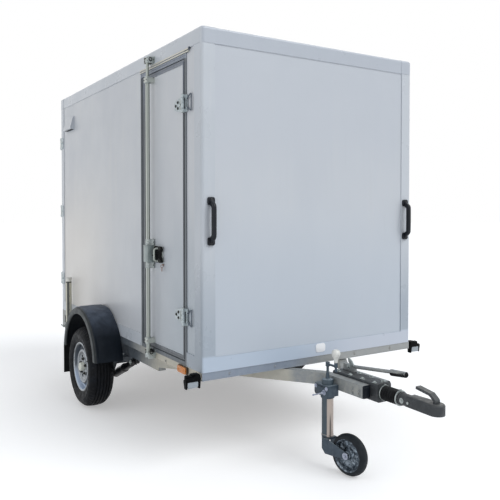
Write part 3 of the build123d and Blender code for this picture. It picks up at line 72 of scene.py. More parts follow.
class Finish:
    """A procedural material: a base colour, tones laid over it, and bumps, all at real scale."""

    def __init__(self, name, colour, rough, metal=0.0, coat=0.0, coat_rough=0.1, level=0.5):
        self.material = bpy.data.materials.new(name)
        self.material.use_nodes = True
        self.tree = self.material.node_tree
        self.shader = self.tree.nodes["Principled BSDF"]
        self.set("Base Color", linear(colour))
        self.set("Roughness", rough)
        self.set("Metallic", metal)
        self.set("Coat Weight", coat)
        self.set("Coat Roughness", coat_rough)
        self.set("Specular IOR Level", level)
        self.material.diffuse_color = linear(colour)
        self.where = self.node("ShaderNodeTexCoord").outputs["Object"]
        self.shape = self.node("ShaderNodeNewGeometry")
        self.base = linear(colour)
        self.paint = None
        self.relief = None

    def set(self, socket, value):
        self.shader.inputs[socket].default_value = value

    def node(self, kind, **settings):
        made = self.tree.nodes.new(kind)
        for name, value in settings.items():
            setattr(made, name, value)
        return made

    def link(self, source, target):
        self.tree.links.new(source, target)

    def stretched(self, scale):
        mapping = self.node("ShaderNodeMapping")
        mapping.inputs["Scale"].default_value = scale if hasattr(scale, "__len__") else (scale,) * 3
        self.link(self.where, mapping.inputs["Vector"])
        return mapping.outputs["Vector"]

    def noise(self, scale, detail=4.0):
        made = self.node("ShaderNodeTexNoise")
        self.link(self.stretched(scale), made.inputs["Vector"])
        made.inputs["Scale"].default_value = 1.0
        made.inputs["Detail"].default_value = detail
        made.inputs["Roughness"].default_value = 0.55
        return made.outputs["Fac"]

    def cells(self, scale, output="Distance"):
        made = self.node("ShaderNodeTexVoronoi")
        self.link(self.stretched(scale), made.inputs["Vector"])
        made.inputs["Scale"].default_value = 1.0
        return made.outputs[output]

    def waves(self, direction, spacing):
        made = self.node("ShaderNodeTexWave", bands_direction=direction)
        self.link(self.where, made.inputs["Vector"])
        made.inputs["Scale"].default_value = 2 * math.pi / (20 * spacing)
        return made.outputs["Fac"]

    def part(self, source, axis):
        """One coordinate of a vector socket."""
        split = self.node("ShaderNodeSeparateXYZ")
        self.link(source, split.inputs[0])
        return split.outputs[axis]

    def place(self, axis, *limits):
        """A share that follows the place along an axis."""
        return self.between(self.part(self.where, axis), *limits)

    def facing(self, axis, *limits):
        """A share that follows how far the surface faces along an axis."""
        return self.between(self.part(self.shape.outputs["Normal"], axis), *limits)

    def between(self, source, low, high, start=0.0, end=1.0):
        made = self.node("ShaderNodeMapRange", interpolation_type="SMOOTHSTEP")
        self.link(source, made.inputs["Value"])
        for socket, value in (("From Min", low), ("From Max", high), ("To Min", start), ("To Max", end)):
            made.inputs[socket].default_value = value
        return made.outputs["Result"]

    def math(self, kind, first, second):
        made = self.node("ShaderNodeMath", operation=kind)
        for socket, value in zip(made.inputs, (first, second)):
            if isinstance(value, (int, float)):
                socket.default_value = value
            else:
                self.link(value, socket)
        return made.outputs[0]

    def times(self, first, *more):
        for other in more:
            first = self.math("MULTIPLY", first, other)
        return first

    def lay(self, colour, *shares):
        """Lays a colour over what is there, by a factor from 0 to 1, the product of its shares."""
        share = self.times(*shares)
        mix = self.node("ShaderNodeMix", data_type="RGBA")
        self.link(share, mix.inputs[MIX_SHARE])
        if self.paint is None:
            mix.inputs[MIX_FIRST].default_value = self.base
        else:
            self.link(self.paint, mix.inputs[MIX_FIRST])
        mix.inputs[MIX_SECOND].default_value = linear(colour)
        self.paint = mix.outputs[MIX_RESULT]
        self.link(self.paint, self.shader.inputs["Base Color"])
        return self

    def tone(self, colour, amount, scale, low=0.4, high=0.65, detail=4.0):
        """Patches of a colour, where a noise passes from low to high."""
        return self.lay(colour, self.between(self.noise(scale, detail), low, high, 0.0, amount))

    def above(self, colour, amount, low=0.5, high=0.95, scale=30):
        """A paler colour on faces that look up: dust on some finishes, a painted highlight on others."""
        patches = self.between(self.noise(scale), 0.25, 0.7, 0.45 * amount, amount)
        return self.lay(colour, self.facing("Z", low, high), patches)

    def along(self, axis, start, end, colour, amount, scale):
        """A colour that grows from start to end along an axis, broken up by a noise."""
        return self.lay(colour, self.place(axis, start, end, 0.0, amount),
                        self.between(self.noise(scale), 0.2, 0.75, 0.3, 1.0))

    def film(self, colour, amount, high_z=1.5, low_z=0.62, back_x=-0.3, front_x=0.75):
        """Painted shade on the body, darkest low down and at the front, broken up by a noise."""
        return self.lay(colour, self.place("Z", high_z, low_z, 0.0, amount),
                        self.place("X", back_x, front_x, 0.25, 1.0),
                        self.between(self.noise((5, 5, 1.6)), 0.2, 0.75, 0.75, 1.0))

    def gloss(self, low, high, scale):
        """Roughness that varies from low to high."""
        self.link(self.between(self.noise(scale), 0.3, 0.7, low, high), self.shader.inputs["Roughness"])
        return self

    def grain(self, scale, detail, distance, strength):
        """A relief of noise."""
        return self.bump(self.noise(scale, detail), distance, strength)

    def bump(self, height, distance, strength=1.0):
        made = self.node("ShaderNodeBump")
        made.inputs["Distance"].default_value = distance
        made.inputs["Strength"].default_value = strength
        self.link(height, made.inputs["Height"])
        if self.relief is not None:
            self.link(self.relief, made.inputs["Normal"])
        self.relief = made.outputs["Normal"]
        self.link(self.relief, self.shader.inputs["Normal"])
        return self


def panel_finish():
    """Coated sandwich panel, a little uneven, with faint run-off streaks; painted shade low down and at the
    front, a warm painted light low at the rear of its right side, and a painted bluish shade on its front
    face.
    """
    f = Finish("panel_coat", (201, 204, 208), 0.36, coat=0.12, coat_rough=0.25)
    f.tone((191, 195, 201), 0.7, (1.3, 1.3, 0.8), 0.38, 0.66, 3)
    f.tone((207, 208, 208), 0.35, (14, 14, 0.9), 0.5, 0.8, 3)
    f.tone((184, 188, 192), 0.25, (38, 38, 2.2), 0.58, 0.8, 5)
    # painted shade: darker low down and at the front
    f.film((172, 178, 185), 0.75)
    beside = f.facing("Y", -0.5, -0.8, 0.0, 0.9)
    # painted light: warmer and paler low at the rear of the right side, as light thrown up from the ground
    f.lay((226, 222, 216), f.place("X", -0.1, -1.3), f.place("Z", 2.0, 1.1), beside)
    # painted shade: darker and bluer low at the front of the right side
    f.lay((170, 180, 188), f.place("X", 0.25, 0.62, 0.0, 0.75), f.place("Z", 1.7, 0.9), beside)
    ahead = f.facing("X", 0.5, 0.9)
    # painted bluish shade on the front face, strongest low down and near the top
    f.lay((190, 199, 210), ahead, f.place("Z", 2.0, 0.8, 0.0, 0.7))
    f.lay((190, 196, 205), ahead, f.place("Z", 1.4, 2.0, 0.0, 0.6))
    f.gloss(0.3, 0.44, 5)
    f.grain(2.3, 2, 0.006, 1.0)
    f.grain(260, 2, 0.0001, 0.5)
    return f


def profile_finish():
    """Powder-coated edge profile, drawn along its length, with painted shade low at the front, on the lower
    front of the right side, and on the front faces of the base rail and the roof rail.
    """
    f = Finish("edge_coat", (198, 203, 209), 0.33, coat=0.2, coat_rough=0.2)
    f.tone((186, 192, 199), 0.55, (2.2, 2.2, 1.1), 0.4, 0.68)
    f.tone((210, 212, 214), 0.3, (30, 30, 1.4), 0.52, 0.8)
    # painted shade: darker low down and at the front
    f.film((160, 170, 181), 0.95, 1.35, 0.7, 0.1, 0.8)
    # painted shade on the lower front of the profiles that face right
    f.lay((148, 158, 168), f.facing("Y", -0.4, -0.8), f.place("Z", 1.3, 0.7, 0.0, 0.75),
          f.place("X", 0.3, 0.75))
    ahead = f.facing("X", 0.5, 0.9)
    # painted bluish shade on the front face of the base rail, paler towards its left end
    base_rail = f.times(ahead, f.place("Z", 0.66, 0.64, 0.0, 0.9))
    f.lay((184, 197, 213), base_rail)
    f.lay((194, 200, 211), base_rail, f.place("Y", -0.2, 0.4))
    # painted shade on the front face at the top of the roof rail
    f.lay((182, 188, 197), ahead, f.place("Z", 2.37, 2.378, 0.0, 0.9))
    f.gloss(0.26, 0.42, 7)
    f.grain(320, 2, 0.00008, 0.5)
    return f


def anodised_finish():
    """Extruded aluminium of the door frames, brushed along its length, with painted shade that darkens it
    lower down.
    """
    f = Finish("anodised", (176, 180, 183), 0.34, metal=0.55)
    f.tone((150, 155, 160), 0.5, (160, 160, 1.6), 0.4, 0.7)
    f.tone((196, 199, 200), 0.35, (420, 420, 3.0), 0.55, 0.8)
    # painted shade: darker lower down
    f.along("Z", 1.2, 0.6, (132, 137, 142), 0.35, (9, 9, 3))
    f.gloss(0.26, 0.42, (60, 60, 4))
    f.grain((900, 900, 6), 2, 0.00006, 0.5)
    return f


def jamb_finish():
    """The fixed frame round the side door: dull dark bars, with a paler head."""
    f = Finish("jamb_extrusion", (100, 106, 111), 0.42, metal=0.25)
    f.tone((90, 95, 101), 0.5, (60, 60, 1.2), 0.4, 0.7)
    f.tone((116, 121, 124), 0.3, (300, 300, 2.0), 0.55, 0.8)
    f.lay((142, 149, 160), f.place("Z", 2.322, 2.327))
    f.gloss(0.34, 0.5, (60, 60, 4))
    f.grain((900, 900, 6), 2, 0.00006, 0.5)
    return f


def leaf_trim_finish():
    """The side door's own edge profile: dark, and paler towards its top."""
    f = Finish("leaf_trim_extrusion", (104, 109, 114), 0.4, metal=0.25)
    f.tone((94, 99, 105), 0.5, (160, 160, 1.6), 0.4, 0.7)
    f.lay((122, 129, 141), f.place("Z", 2.0, 2.29, 0.0, 0.8))
    f.gloss(0.3, 0.46, (60, 60, 4))
    f.grain((900, 900, 6), 2, 0.00006, 0.5)
    return f


def zinc_finish():
    """Bright zinc plate, with a faint warm bloom."""
    f = Finish("bright_zinc", (168, 175, 174), 0.3, metal=0.6)
    f.tone((142, 149, 146), 0.5, (26, 26, 14), 0.42, 0.66)
    f.tone((188, 192, 188), 0.35, 70, 0.52, 0.75)
    f.tone((112, 116, 110), 0.3, (55, 55, 40), 0.64, 0.8)
    f.gloss(0.24, 0.42, 45)
    f.grain(380, 3, 0.00012, 0.6)
    return f


def rod_finish():
    """Drawn zinc-plated tube, with painted shade on the side that faces the trailer's left and painted dark
    lines along it where its surface faces partly to the right.
    """
    f = Finish("drawn_tube", (192, 197, 190), 0.34, metal=0.25)
    f.tone((172, 178, 172), 0.5, (60, 60, 2.0), 0.42, 0.7)
    # painted shade on the side that faces the trailer's left
    f.lay((110, 118, 106), f.facing("Y", 0.05, 0.35))
    # painted dark lines along the rod where its surface faces partly to the right
    f.lay((134, 140, 132), f.facing("Y", -0.8, -0.7), f.facing("Y", -0.42, -0.52))
    f.tone((190, 192, 186), 0.4, (60, 60, 1.5), 0.55, 0.8)
    f.gloss(0.26, 0.4, (80, 80, 4))
    f.grain((500, 500, 5), 2, 0.00005, 0.5)
    return f


def stand_finish():
    """Galvanised tube of the jockey stand: pale beige, which stands for its lit side, with painted shade on
    its outboard side and a painted shadow strip low down beside that.
    """
    f = Finish("stand_tube", (198, 184, 174), 0.4, metal=0.2)
    f.tone((176, 166, 158), 0.5, (90, 90, 3.0), 0.4, 0.7)
    # painted shade on the outboard side
    f.lay((66, 79, 88), f.facing("Y", -0.68, -0.75))
    # painted shadow: a dark strip low down, beside the outboard side
    f.lay((84, 82, 82), f.facing("Y", -0.36, -0.28), f.facing("Y", -0.05, -0.14),
          f.place("Z", 0.33, 0.26, 0.0, 0.85))
    f.lay((66, 79, 88), f.place("Z", 0.47, 0.474))
    f.tone((104, 112, 116), 0.35, (45, 45, 9), 0.56, 0.78)
    f.gloss(0.32, 0.5, 40)
    f.grain(210, 3, 0.0002, 0.5)
    return f


def leg_finish():
    """Zinc-plated tube of the prop legs: creamy, and darker on the side that faces forward and a little to
    the right.
    """
    f = Finish("leg_tube", (208, 206, 190), 0.34, metal=0.3)
    f.tone((186, 184, 168), 0.5, (90, 90, 3.0), 0.4, 0.7)
    # darker on the faces that look forward and a little to the right
    f.lay((84, 86, 82), f.facing("X", 0.5, 0.6), f.facing("Y", -0.08, -0.16))
    f.lay((218, 218, 212), f.place("Z", 0.85, 0.852))
    f.lay((62, 64, 62), f.place("Z", 0.838, 0.84), f.place("Z", 0.85, 0.848))
    f.gloss(0.3, 0.48, (70, 70, 5))
    f.grain(300, 3, 0.0001, 0.5)
    return f


def stand_steel_finish():
    """Dull blue-grey galvanised steel of the jockey wheel's clamp and fork, with a painted highlight on faces
    that look up.
    """
    f = Finish("stand_steel", (64, 77, 89), 0.42, metal=0.35)
    f.tone((48, 59, 70), 0.6, (40, 40, 14), 0.42, 0.66)
    f.tone((104, 116, 124), 0.4, (70, 70, 30), 0.56, 0.76)
    # painted highlight: a paler top where the faces look up
    f.above((142, 154, 161), 0.85, 0.4, 0.95, 30)
    f.gloss(0.34, 0.52, 40)
    f.grain(160, 3, 0.0004, 0.5)
    return f


def galvanised_finish():
    """Hot-dip galvanised steel: zinc crystals, dull patches and run-off; painted shade round the wheels,
    painted light and shade on the front faces of the front cross member, and a warm painted light on faces
    that look right ahead of the wheels.
    """
    f = Finish("hot_dip_zinc", (150, 152, 150), 0.46, metal=0.3)
    f.lay((132, 137, 140), f.between(f.part(f.cells(70, "Color"), "X"), 0.25, 0.9, 0.0, 0.45))
    f.tone((178, 177, 168), 0.45, 24, 0.46, 0.72)
    f.tone((118, 122, 124), 0.4, 9, 0.56, 0.78)
    f.tone((152, 146, 132), 0.35, (15, 15, 6), 0.56, 0.78)
    # painted shade under the body round the wheels
    f.lay((74, 84, 95), f.place("X", 0.02, -0.2), f.place("X", -1.15, -0.95, 0.0, 0.85))
    # painted light and shade on the front faces of the front cross member: a pale grey in the middle, a
    # bluish shade towards the right
    ahead = f.times(f.facing("X", 0.5, 0.9), f.place("X", 0.7, 0.8))
    f.lay((158, 160, 160), ahead, f.place("Y", -0.1, 0.2, 0.0, 0.8))
    f.lay((132, 144, 162), ahead, f.place("Y", 0.1, -0.25, 0.0, 0.8))
    # painted light: a warm pale tone on faces that look right, ahead of the wheels
    f.lay((192, 187, 172), f.place("X", 0.0, 0.25, 0.0, 0.8), f.place("X", 0.95, 0.9),
          f.facing("Y", -0.6, -0.9))
    f.gloss(0.34, 0.58, 40)
    f.bump(f.cells(70), 0.0005, 0.35)
    f.grain(210, 3, 0.0003, 0.5)
    return f


def plastic_finish(name, colour=(30, 35, 42), dust=(100, 106, 113), amount=0.75, start=0.25):
    """Grained black moulding, paler where it looks up: dust, and on the mudguards a painted highlight as
    well.
    """
    f = Finish(name, colour, 0.5, level=0.16)
    f.tone([c + 9 for c in colour], 0.6, 11, 0.4, 0.7)
    f.tone([c - 6 for c in colour], 0.5, (60, 60, 20), 0.5, 0.75)
    f.above(dust, amount, start, 0.98, 16)
    f.gloss(0.42, 0.62, 18)
    f.bump(f.cells(900), 0.00016, 0.6)
    f.grain(55, 2, 0.0005, 0.35)
    return f


def fender_finish():
    """Moulded black plastic, greyed along its outboard edge, with a bluish painted highlight mixed with dust
    where it looks up.
    """
    # the bluish colour on upward faces is dust and a painted highlight
    f = plastic_finish("fender_plastic", (13, 21, 30), (98, 108, 124), 0.85, 0.5)
    edge = f.math("MAXIMUM", f.place("Y", -0.9875, -0.999), f.place("Y", 0.9875, 0.999))
    f.lay((66, 69, 70), edge, f.between(f.noise(20), 0.3, 0.7, 0.6, 0.95))
    return f


def rubber_finish():
    """Moulded rubber, a little chalky."""
    f = Finish("moulded_rubber", (20, 21, 23), 0.66, level=0.14)
    f.tone((42, 44, 46), 0.6, 24, 0.45, 0.72)
    f.above((96, 97, 96), 0.35, 0.5, 0.98, 40)
    f.gloss(0.55, 0.8, 30)
    f.grain(420, 3, 0.0003, 0.5)
    return f


def tyre_finish(name="tyre_rubber", colour=(13, 15, 19)):
    """Tyre rubber with pale dust worked into it."""
    f = Finish(name, colour, 0.62, level=0.14)
    f.tone((23, 27, 34), 0.6, 19, 0.42, 0.7)
    f.tone((50, 49, 49), 0.2, 44, 0.58, 0.8)
    f.gloss(0.44, 0.7, 34)
    f.grain(300, 4, 0.0005, 0.5)
    return f


def wheel_zinc_finish():
    """Zinc plate on the pressed jockey wheel, blotched and oily."""
    f = Finish("blotched_zinc", (128, 138, 148), 0.36, metal=0.75)
    f.tone((44, 54, 64), 0.9, 62, 0.38, 0.56, 5)
    f.tone((162, 178, 192), 0.7, 85, 0.58, 0.7, 4)
    f.gloss(0.24, 0.5, 60)
    f.grain(120, 3, 0.0008, 0.7)
    return f


def silver_finish():
    """Sprayed wheel silver with brake dust in its hollows, painted shade on faces that look down and in the
    barrel, and painted highlights low in the barrel and on the rim.
    """
    f = Finish("wheel_paint", (168, 174, 180), 0.36, metal=0.4, coat=0.15, coat_rough=0.2)
    f.tone((116, 116, 112), 0.55, 22, 0.48, 0.72)
    f.tone((186, 190, 196), 0.4, 46, 0.5, 0.74)
    f.tone((84, 80, 74), 0.4, 75, 0.62, 0.8)
    # painted shade on faces that look down
    f.lay((44, 48, 50), f.facing("Z", 0.05, -0.45, 0.0, 0.85))
    # painted shade high in the barrel, and a painted bluish highlight low in it
    barrel = f.times(f.facing("Y", -0.75, -0.45), f.facing("Y", 0.75, 0.45))
    f.lay((72, 81, 92), barrel, f.place("Z", 0.22, 0.29, 0.0, 0.85))
    f.lay((148, 162, 182), barrel, f.place("Z", 0.26, 0.2, 0.0, 0.75))
    distance = f.node("ShaderNodeVectorMath", operation="DISTANCE")
    f.link(f.stretched((1, 0, 1)), distance.inputs[0])
    distance.inputs[1].default_value = WHEEL_AXIS

    def ring(*limits):
        return f.between(distance.outputs["Value"], *limits)

    # painted shade in the barrel's ring, stronger towards the top
    f.lay((70, 79, 90), ring(0.122, 0.131), ring(0.164, 0.158), f.place("Z", 0.2, 0.33, 0.15, 0.8))
    lower = f.place("Z", 0.28, 0.2)
    # painted bluish highlight low on the rim's outer ring, and painted shade just inside it
    f.lay((170, 186, 208), lower, ring(0.146, 0.15), ring(0.17, 0.166, 0.0, 0.9))
    f.lay((58, 72, 92), lower, ring(0.126, 0.132, 0.0, 0.85), ring(0.149, 0.145))
    f.lay((62, 68, 74), ring(0.112, 0.1), ring(0.062, 0.072), f.between(f.noise(30), 0.4, 0.6, 0.2, 0.55))
    f.gloss(0.26, 0.5, 30)
    f.grain(500, 3, 0.00015, 0.5)
    return f


def cast_finish():
    """Painted and sandy cast steel."""
    f = Finish("cast_steel_paint", (58, 61, 64), 0.5, metal=0.35)
    f.tone((88, 91, 93), 0.5, 30, 0.5, 0.72)
    f.tone((92, 78, 62), 0.3, 60, 0.62, 0.8)
    f.above((110, 110, 106), 0.3, 0.5, 0.95, 40)
    f.gloss(0.38, 0.62, 40)
    f.grain(330, 4, 0.0006, 0.6)
    return f


def plywood_finish():
    """Brown film-faced birch plywood with its wire-mesh grip."""
    f = Finish("film_faced_ply", (74, 52, 38), 0.45, coat=0.15)
    f.tone((96, 70, 52), 0.6, (3, 26, 3), 0.42, 0.7)
    f.tone((52, 36, 27), 0.5, 60, 0.55, 0.78)
    f.tone((128, 118, 106), 0.25, 7, 0.56, 0.8)
    f.bump(f.waves("X", 0.006), 0.0004, 0.6)
    f.bump(f.waves("Y", 0.006), 0.0004, 0.6)
    return f


def lens_finish(name, colour, deep, pitch=0.004, across="X"):
    """A moulded lens: clear-coated colour over fine prisms."""
    f = Finish(name, colour, 0.22, coat=0.35, coat_rough=0.06, level=0.5)
    prisms = f.waves(across, pitch)
    f.lay(deep, f.between(prisms, 0.2, 0.8, 0.0, 0.6))
    f.lay(deep, f.between(f.cells(320), 0.1, 0.5, 0.0, 0.35))
    f.tone((150, 140, 128), 0.16, 30, 0.55, 0.8)
    f.bump(prisms, 0.0005, 0.5)
    f.bump(f.cells(320), 0.0003, 0.5)
    return f


def plate_finish():
    """A bare reflective number plate."""
    f = Finish("bare_plate", (206, 207, 203), 0.3, coat=0.3)
    f.lay((190, 192, 190), f.between(f.cells(600), 0.2, 0.6, 0.0, 0.6))
    f.tone((168, 166, 158), 0.25, 12, 0.5, 0.8)
    f.bump(f.cells(600), 0.0001, 0.4)
    return f


def dark_finish():
    """Blackened steel of bolt heads and slots."""
    f = Finish("black_oxide", (48, 49, 48), 0.42, metal=0.5)
    f.tone((84, 84, 80), 0.5, 120, 0.5, 0.75)
    f.gloss(0.32, 0.56, 90)
    f.grain(600, 2, 0.0001, 0.5)
    return f


PANEL = panel_finish().material
EDGE = profile_finish().material
ANODISED = anodised_finish().material
JAMB = jamb_finish().material
LEAF_TRIM = leaf_trim_finish().material
ROD = rod_finish().material
STAND = stand_finish().material
STAND_STEEL = stand_steel_finish().material
LEG = leg_finish().material
ZINC = zinc_finish().material
GALVANISED = galvanised_finish().material
PLASTIC = plastic_finish("grained_plastic", (22, 27, 34), amount=0.4).material
FENDER = fender_finish().material
LIP = plastic_finish("fender_lip", (74, 78, 79), (98, 102, 104), 0.4).material
RUBBER = rubber_finish().material
TYRE = tyre_finish().material
SMALL_TYRE = tyre_finish("small_tyre_rubber", (38, 42, 46)).material
WHEEL_ZINC = wheel_zinc_finish().material
SILVER = silver_finish().material
CAST = cast_finish().material
PLYWOOD = plywood_finish().material
LENS_WHITE = lens_finish("lens_clear", (168, 176, 182), (134, 142, 150), 0.007, "Z").material
LENS_AMBER = lens_finish("lens_amber", (226, 138, 4), (194, 104, 2), 0.007, "X").material
LENS_RED = lens_finish("lens_red", (168, 18, 18), (112, 8, 10), 0.005, "Y").material
PLATE = plate_finish().material
DARK = dark_finish().material


def plain(name, colour, rough, mark, amount, scale, low=0.4, high=0.65, **more):
    """One colour with patches of another, and a fine grain."""
    return Finish(name, colour, rough, **more).tone(mark, amount, scale, low, high).grain(400, 2, 0.0001,
                                                                                          0.5).material


SEAL = plain("grey_seal", (78, 83, 88), 0.6, (66, 70, 75), 0.6, 40, level=0.3)
HINGE = plain("hinge_grey", (188, 198, 201), 0.34, (140, 150, 154), 0.6, 70, 0.45, 0.65, metal=0.25)
LOOP = plain("hinge_steel", (84, 94, 106), 0.4, (64, 72, 84), 0.6, 50, 0.42, 0.68, metal=0.3)
HANDLE_STEEL = plain("clamp_bolt_steel", (176, 182, 198), 0.34, (120, 126, 142),
                     0.5, 60, 0.45, 0.7, metal=0.3)
LOCK = plain("lock_case", (150, 161, 160), 0.36, (128, 138, 136), 0.5, 24, 0.45, 0.7, metal=0.2)
GRAB = plain("handle_nylon", (9, 14, 23), 0.46, (17, 25, 36), 0.5, 60, 0.45, 0.7, level=0.3)
DAMPER = plain("damper_paint", (7, 9, 14), 0.3, (30, 33, 38),
               0.5, 40, 0.45, 0.7, coat=0.12, coat_rough=0.2, level=0.35)
AMBER_BASE = plain("amber_base", (72, 50, 22), 0.45, (44, 32, 18), 0.6, 50)
BEIGE = plain("drip_rail_alu", (216, 213, 200), 0.34, (192, 189, 174), 0.5, (4, 60, 60), 0.45, 0.7, metal=0.1)
BLACK = plain("deep_black", (4, 5, 6), 0.5, (20, 22, 24), 0.35, 60, 0.5, 0.75, level=0.06)
BRASS = plain("ring_brass", (150, 126, 118), 0.35, (110, 92, 86), 0.5, 90, 0.5, 0.7, metal=0.5)
COVER = plain("cover_white", (238, 239, 241), 0.35, (228, 230, 232), 0.5, 30, 0.5, 0.75)
CAP = plain("hub_cap_grey", (226, 228, 216), 0.38, (150, 148, 142), 0.5, 60, 0.5, 0.75, metal=0.1)
GRIP = plain("bright_cap", (222, 222, 217), 0.34, (160, 160, 152), 0.5, 50, 0.5, 0.75, metal=0.1)

BY_SLOT = {
    "panel_white": PANEL,
    "edge_white": EDGE,
    "door_grey": ANODISED,
    "zinc": ZINC,
    "galvanised": GALVANISED,
    "black_plastic": PLASTIC,
    "rubber": RUBBER,
    "tyre": TYRE,
    "wheel_silver": SILVER,
    "cast_steel": CAST,
    "plywood": PLYWOOD,
    "lamp_white": LENS_WHITE,
    "lamp_amber": LENS_AMBER,
    "lamp_red": LENS_RED,
    "plate_blank": PLATE,
}
for name, node in nodes.items():
    for place, old in enumerate(node.data.materials):
        node.data.materials[place] = BY_SLOT[old.name.split(".")[0]]
for name, material in (("side_door_frame", JAMB), ("side_door_trim", LEAF_TRIM), ("jockey_tube", STAND),
                       ("jockey_fork", STAND_STEEL), ("jockey_clamp", STAND_STEEL), ("prop_leg_right", LEG),
                       ("prop_leg_left", LEG), ("side_door_hinges", HINGE), ("shock_absorber_right", DAMPER),
                       ("shock_absorber_left", DAMPER), ("side_door_lock", ROD), ("rear_lock_right", ROD),
                       ("rear_lock_left", ROD)):
    nodes[name].data.materials[0] = material


# ------------------------------------------------------------------------------ mesh helpers
def across(axis):
    """Two unit vectors square to an axis and to each other."""
    axis = Vector(axis).normalized()
    side = (Z if abs(axis.z) < 0.9 else X).cross(axis).normalized()
    return side, axis.cross(side).normalized()


def turns(count, shift=0.0):
    """Equal steps of angle round a circle, moved on by a share of a step."""
    return [2 * math.pi * (k + shift) / count for k in range(count)]


def spoke(u, v, angle):
    """The direction at an angle round from u to v."""
    return u * math.cos(angle) + v * math.sin(angle)


def skin(part, rings, closed=False):
    """Faces from each ring of vertices to the next. At a ring that is one point they are triangles."""
    for lower, upper in zip(rings, rings[1:] + rings[:1] if closed else rings[1:]):
        for corners in zip(lower, lower[1:] + lower[:1], upper[1:] + upper[:1], upper):
            corners = list(dict.fromkeys(corners))
            if len(corners) > 2:
                part.faces.new(corners)


def cap_ends(part, rings):
    """Faces over the first ring and the last."""
    part.faces.new(rings[0][::-1])
    part.faces.new(rings[-1])


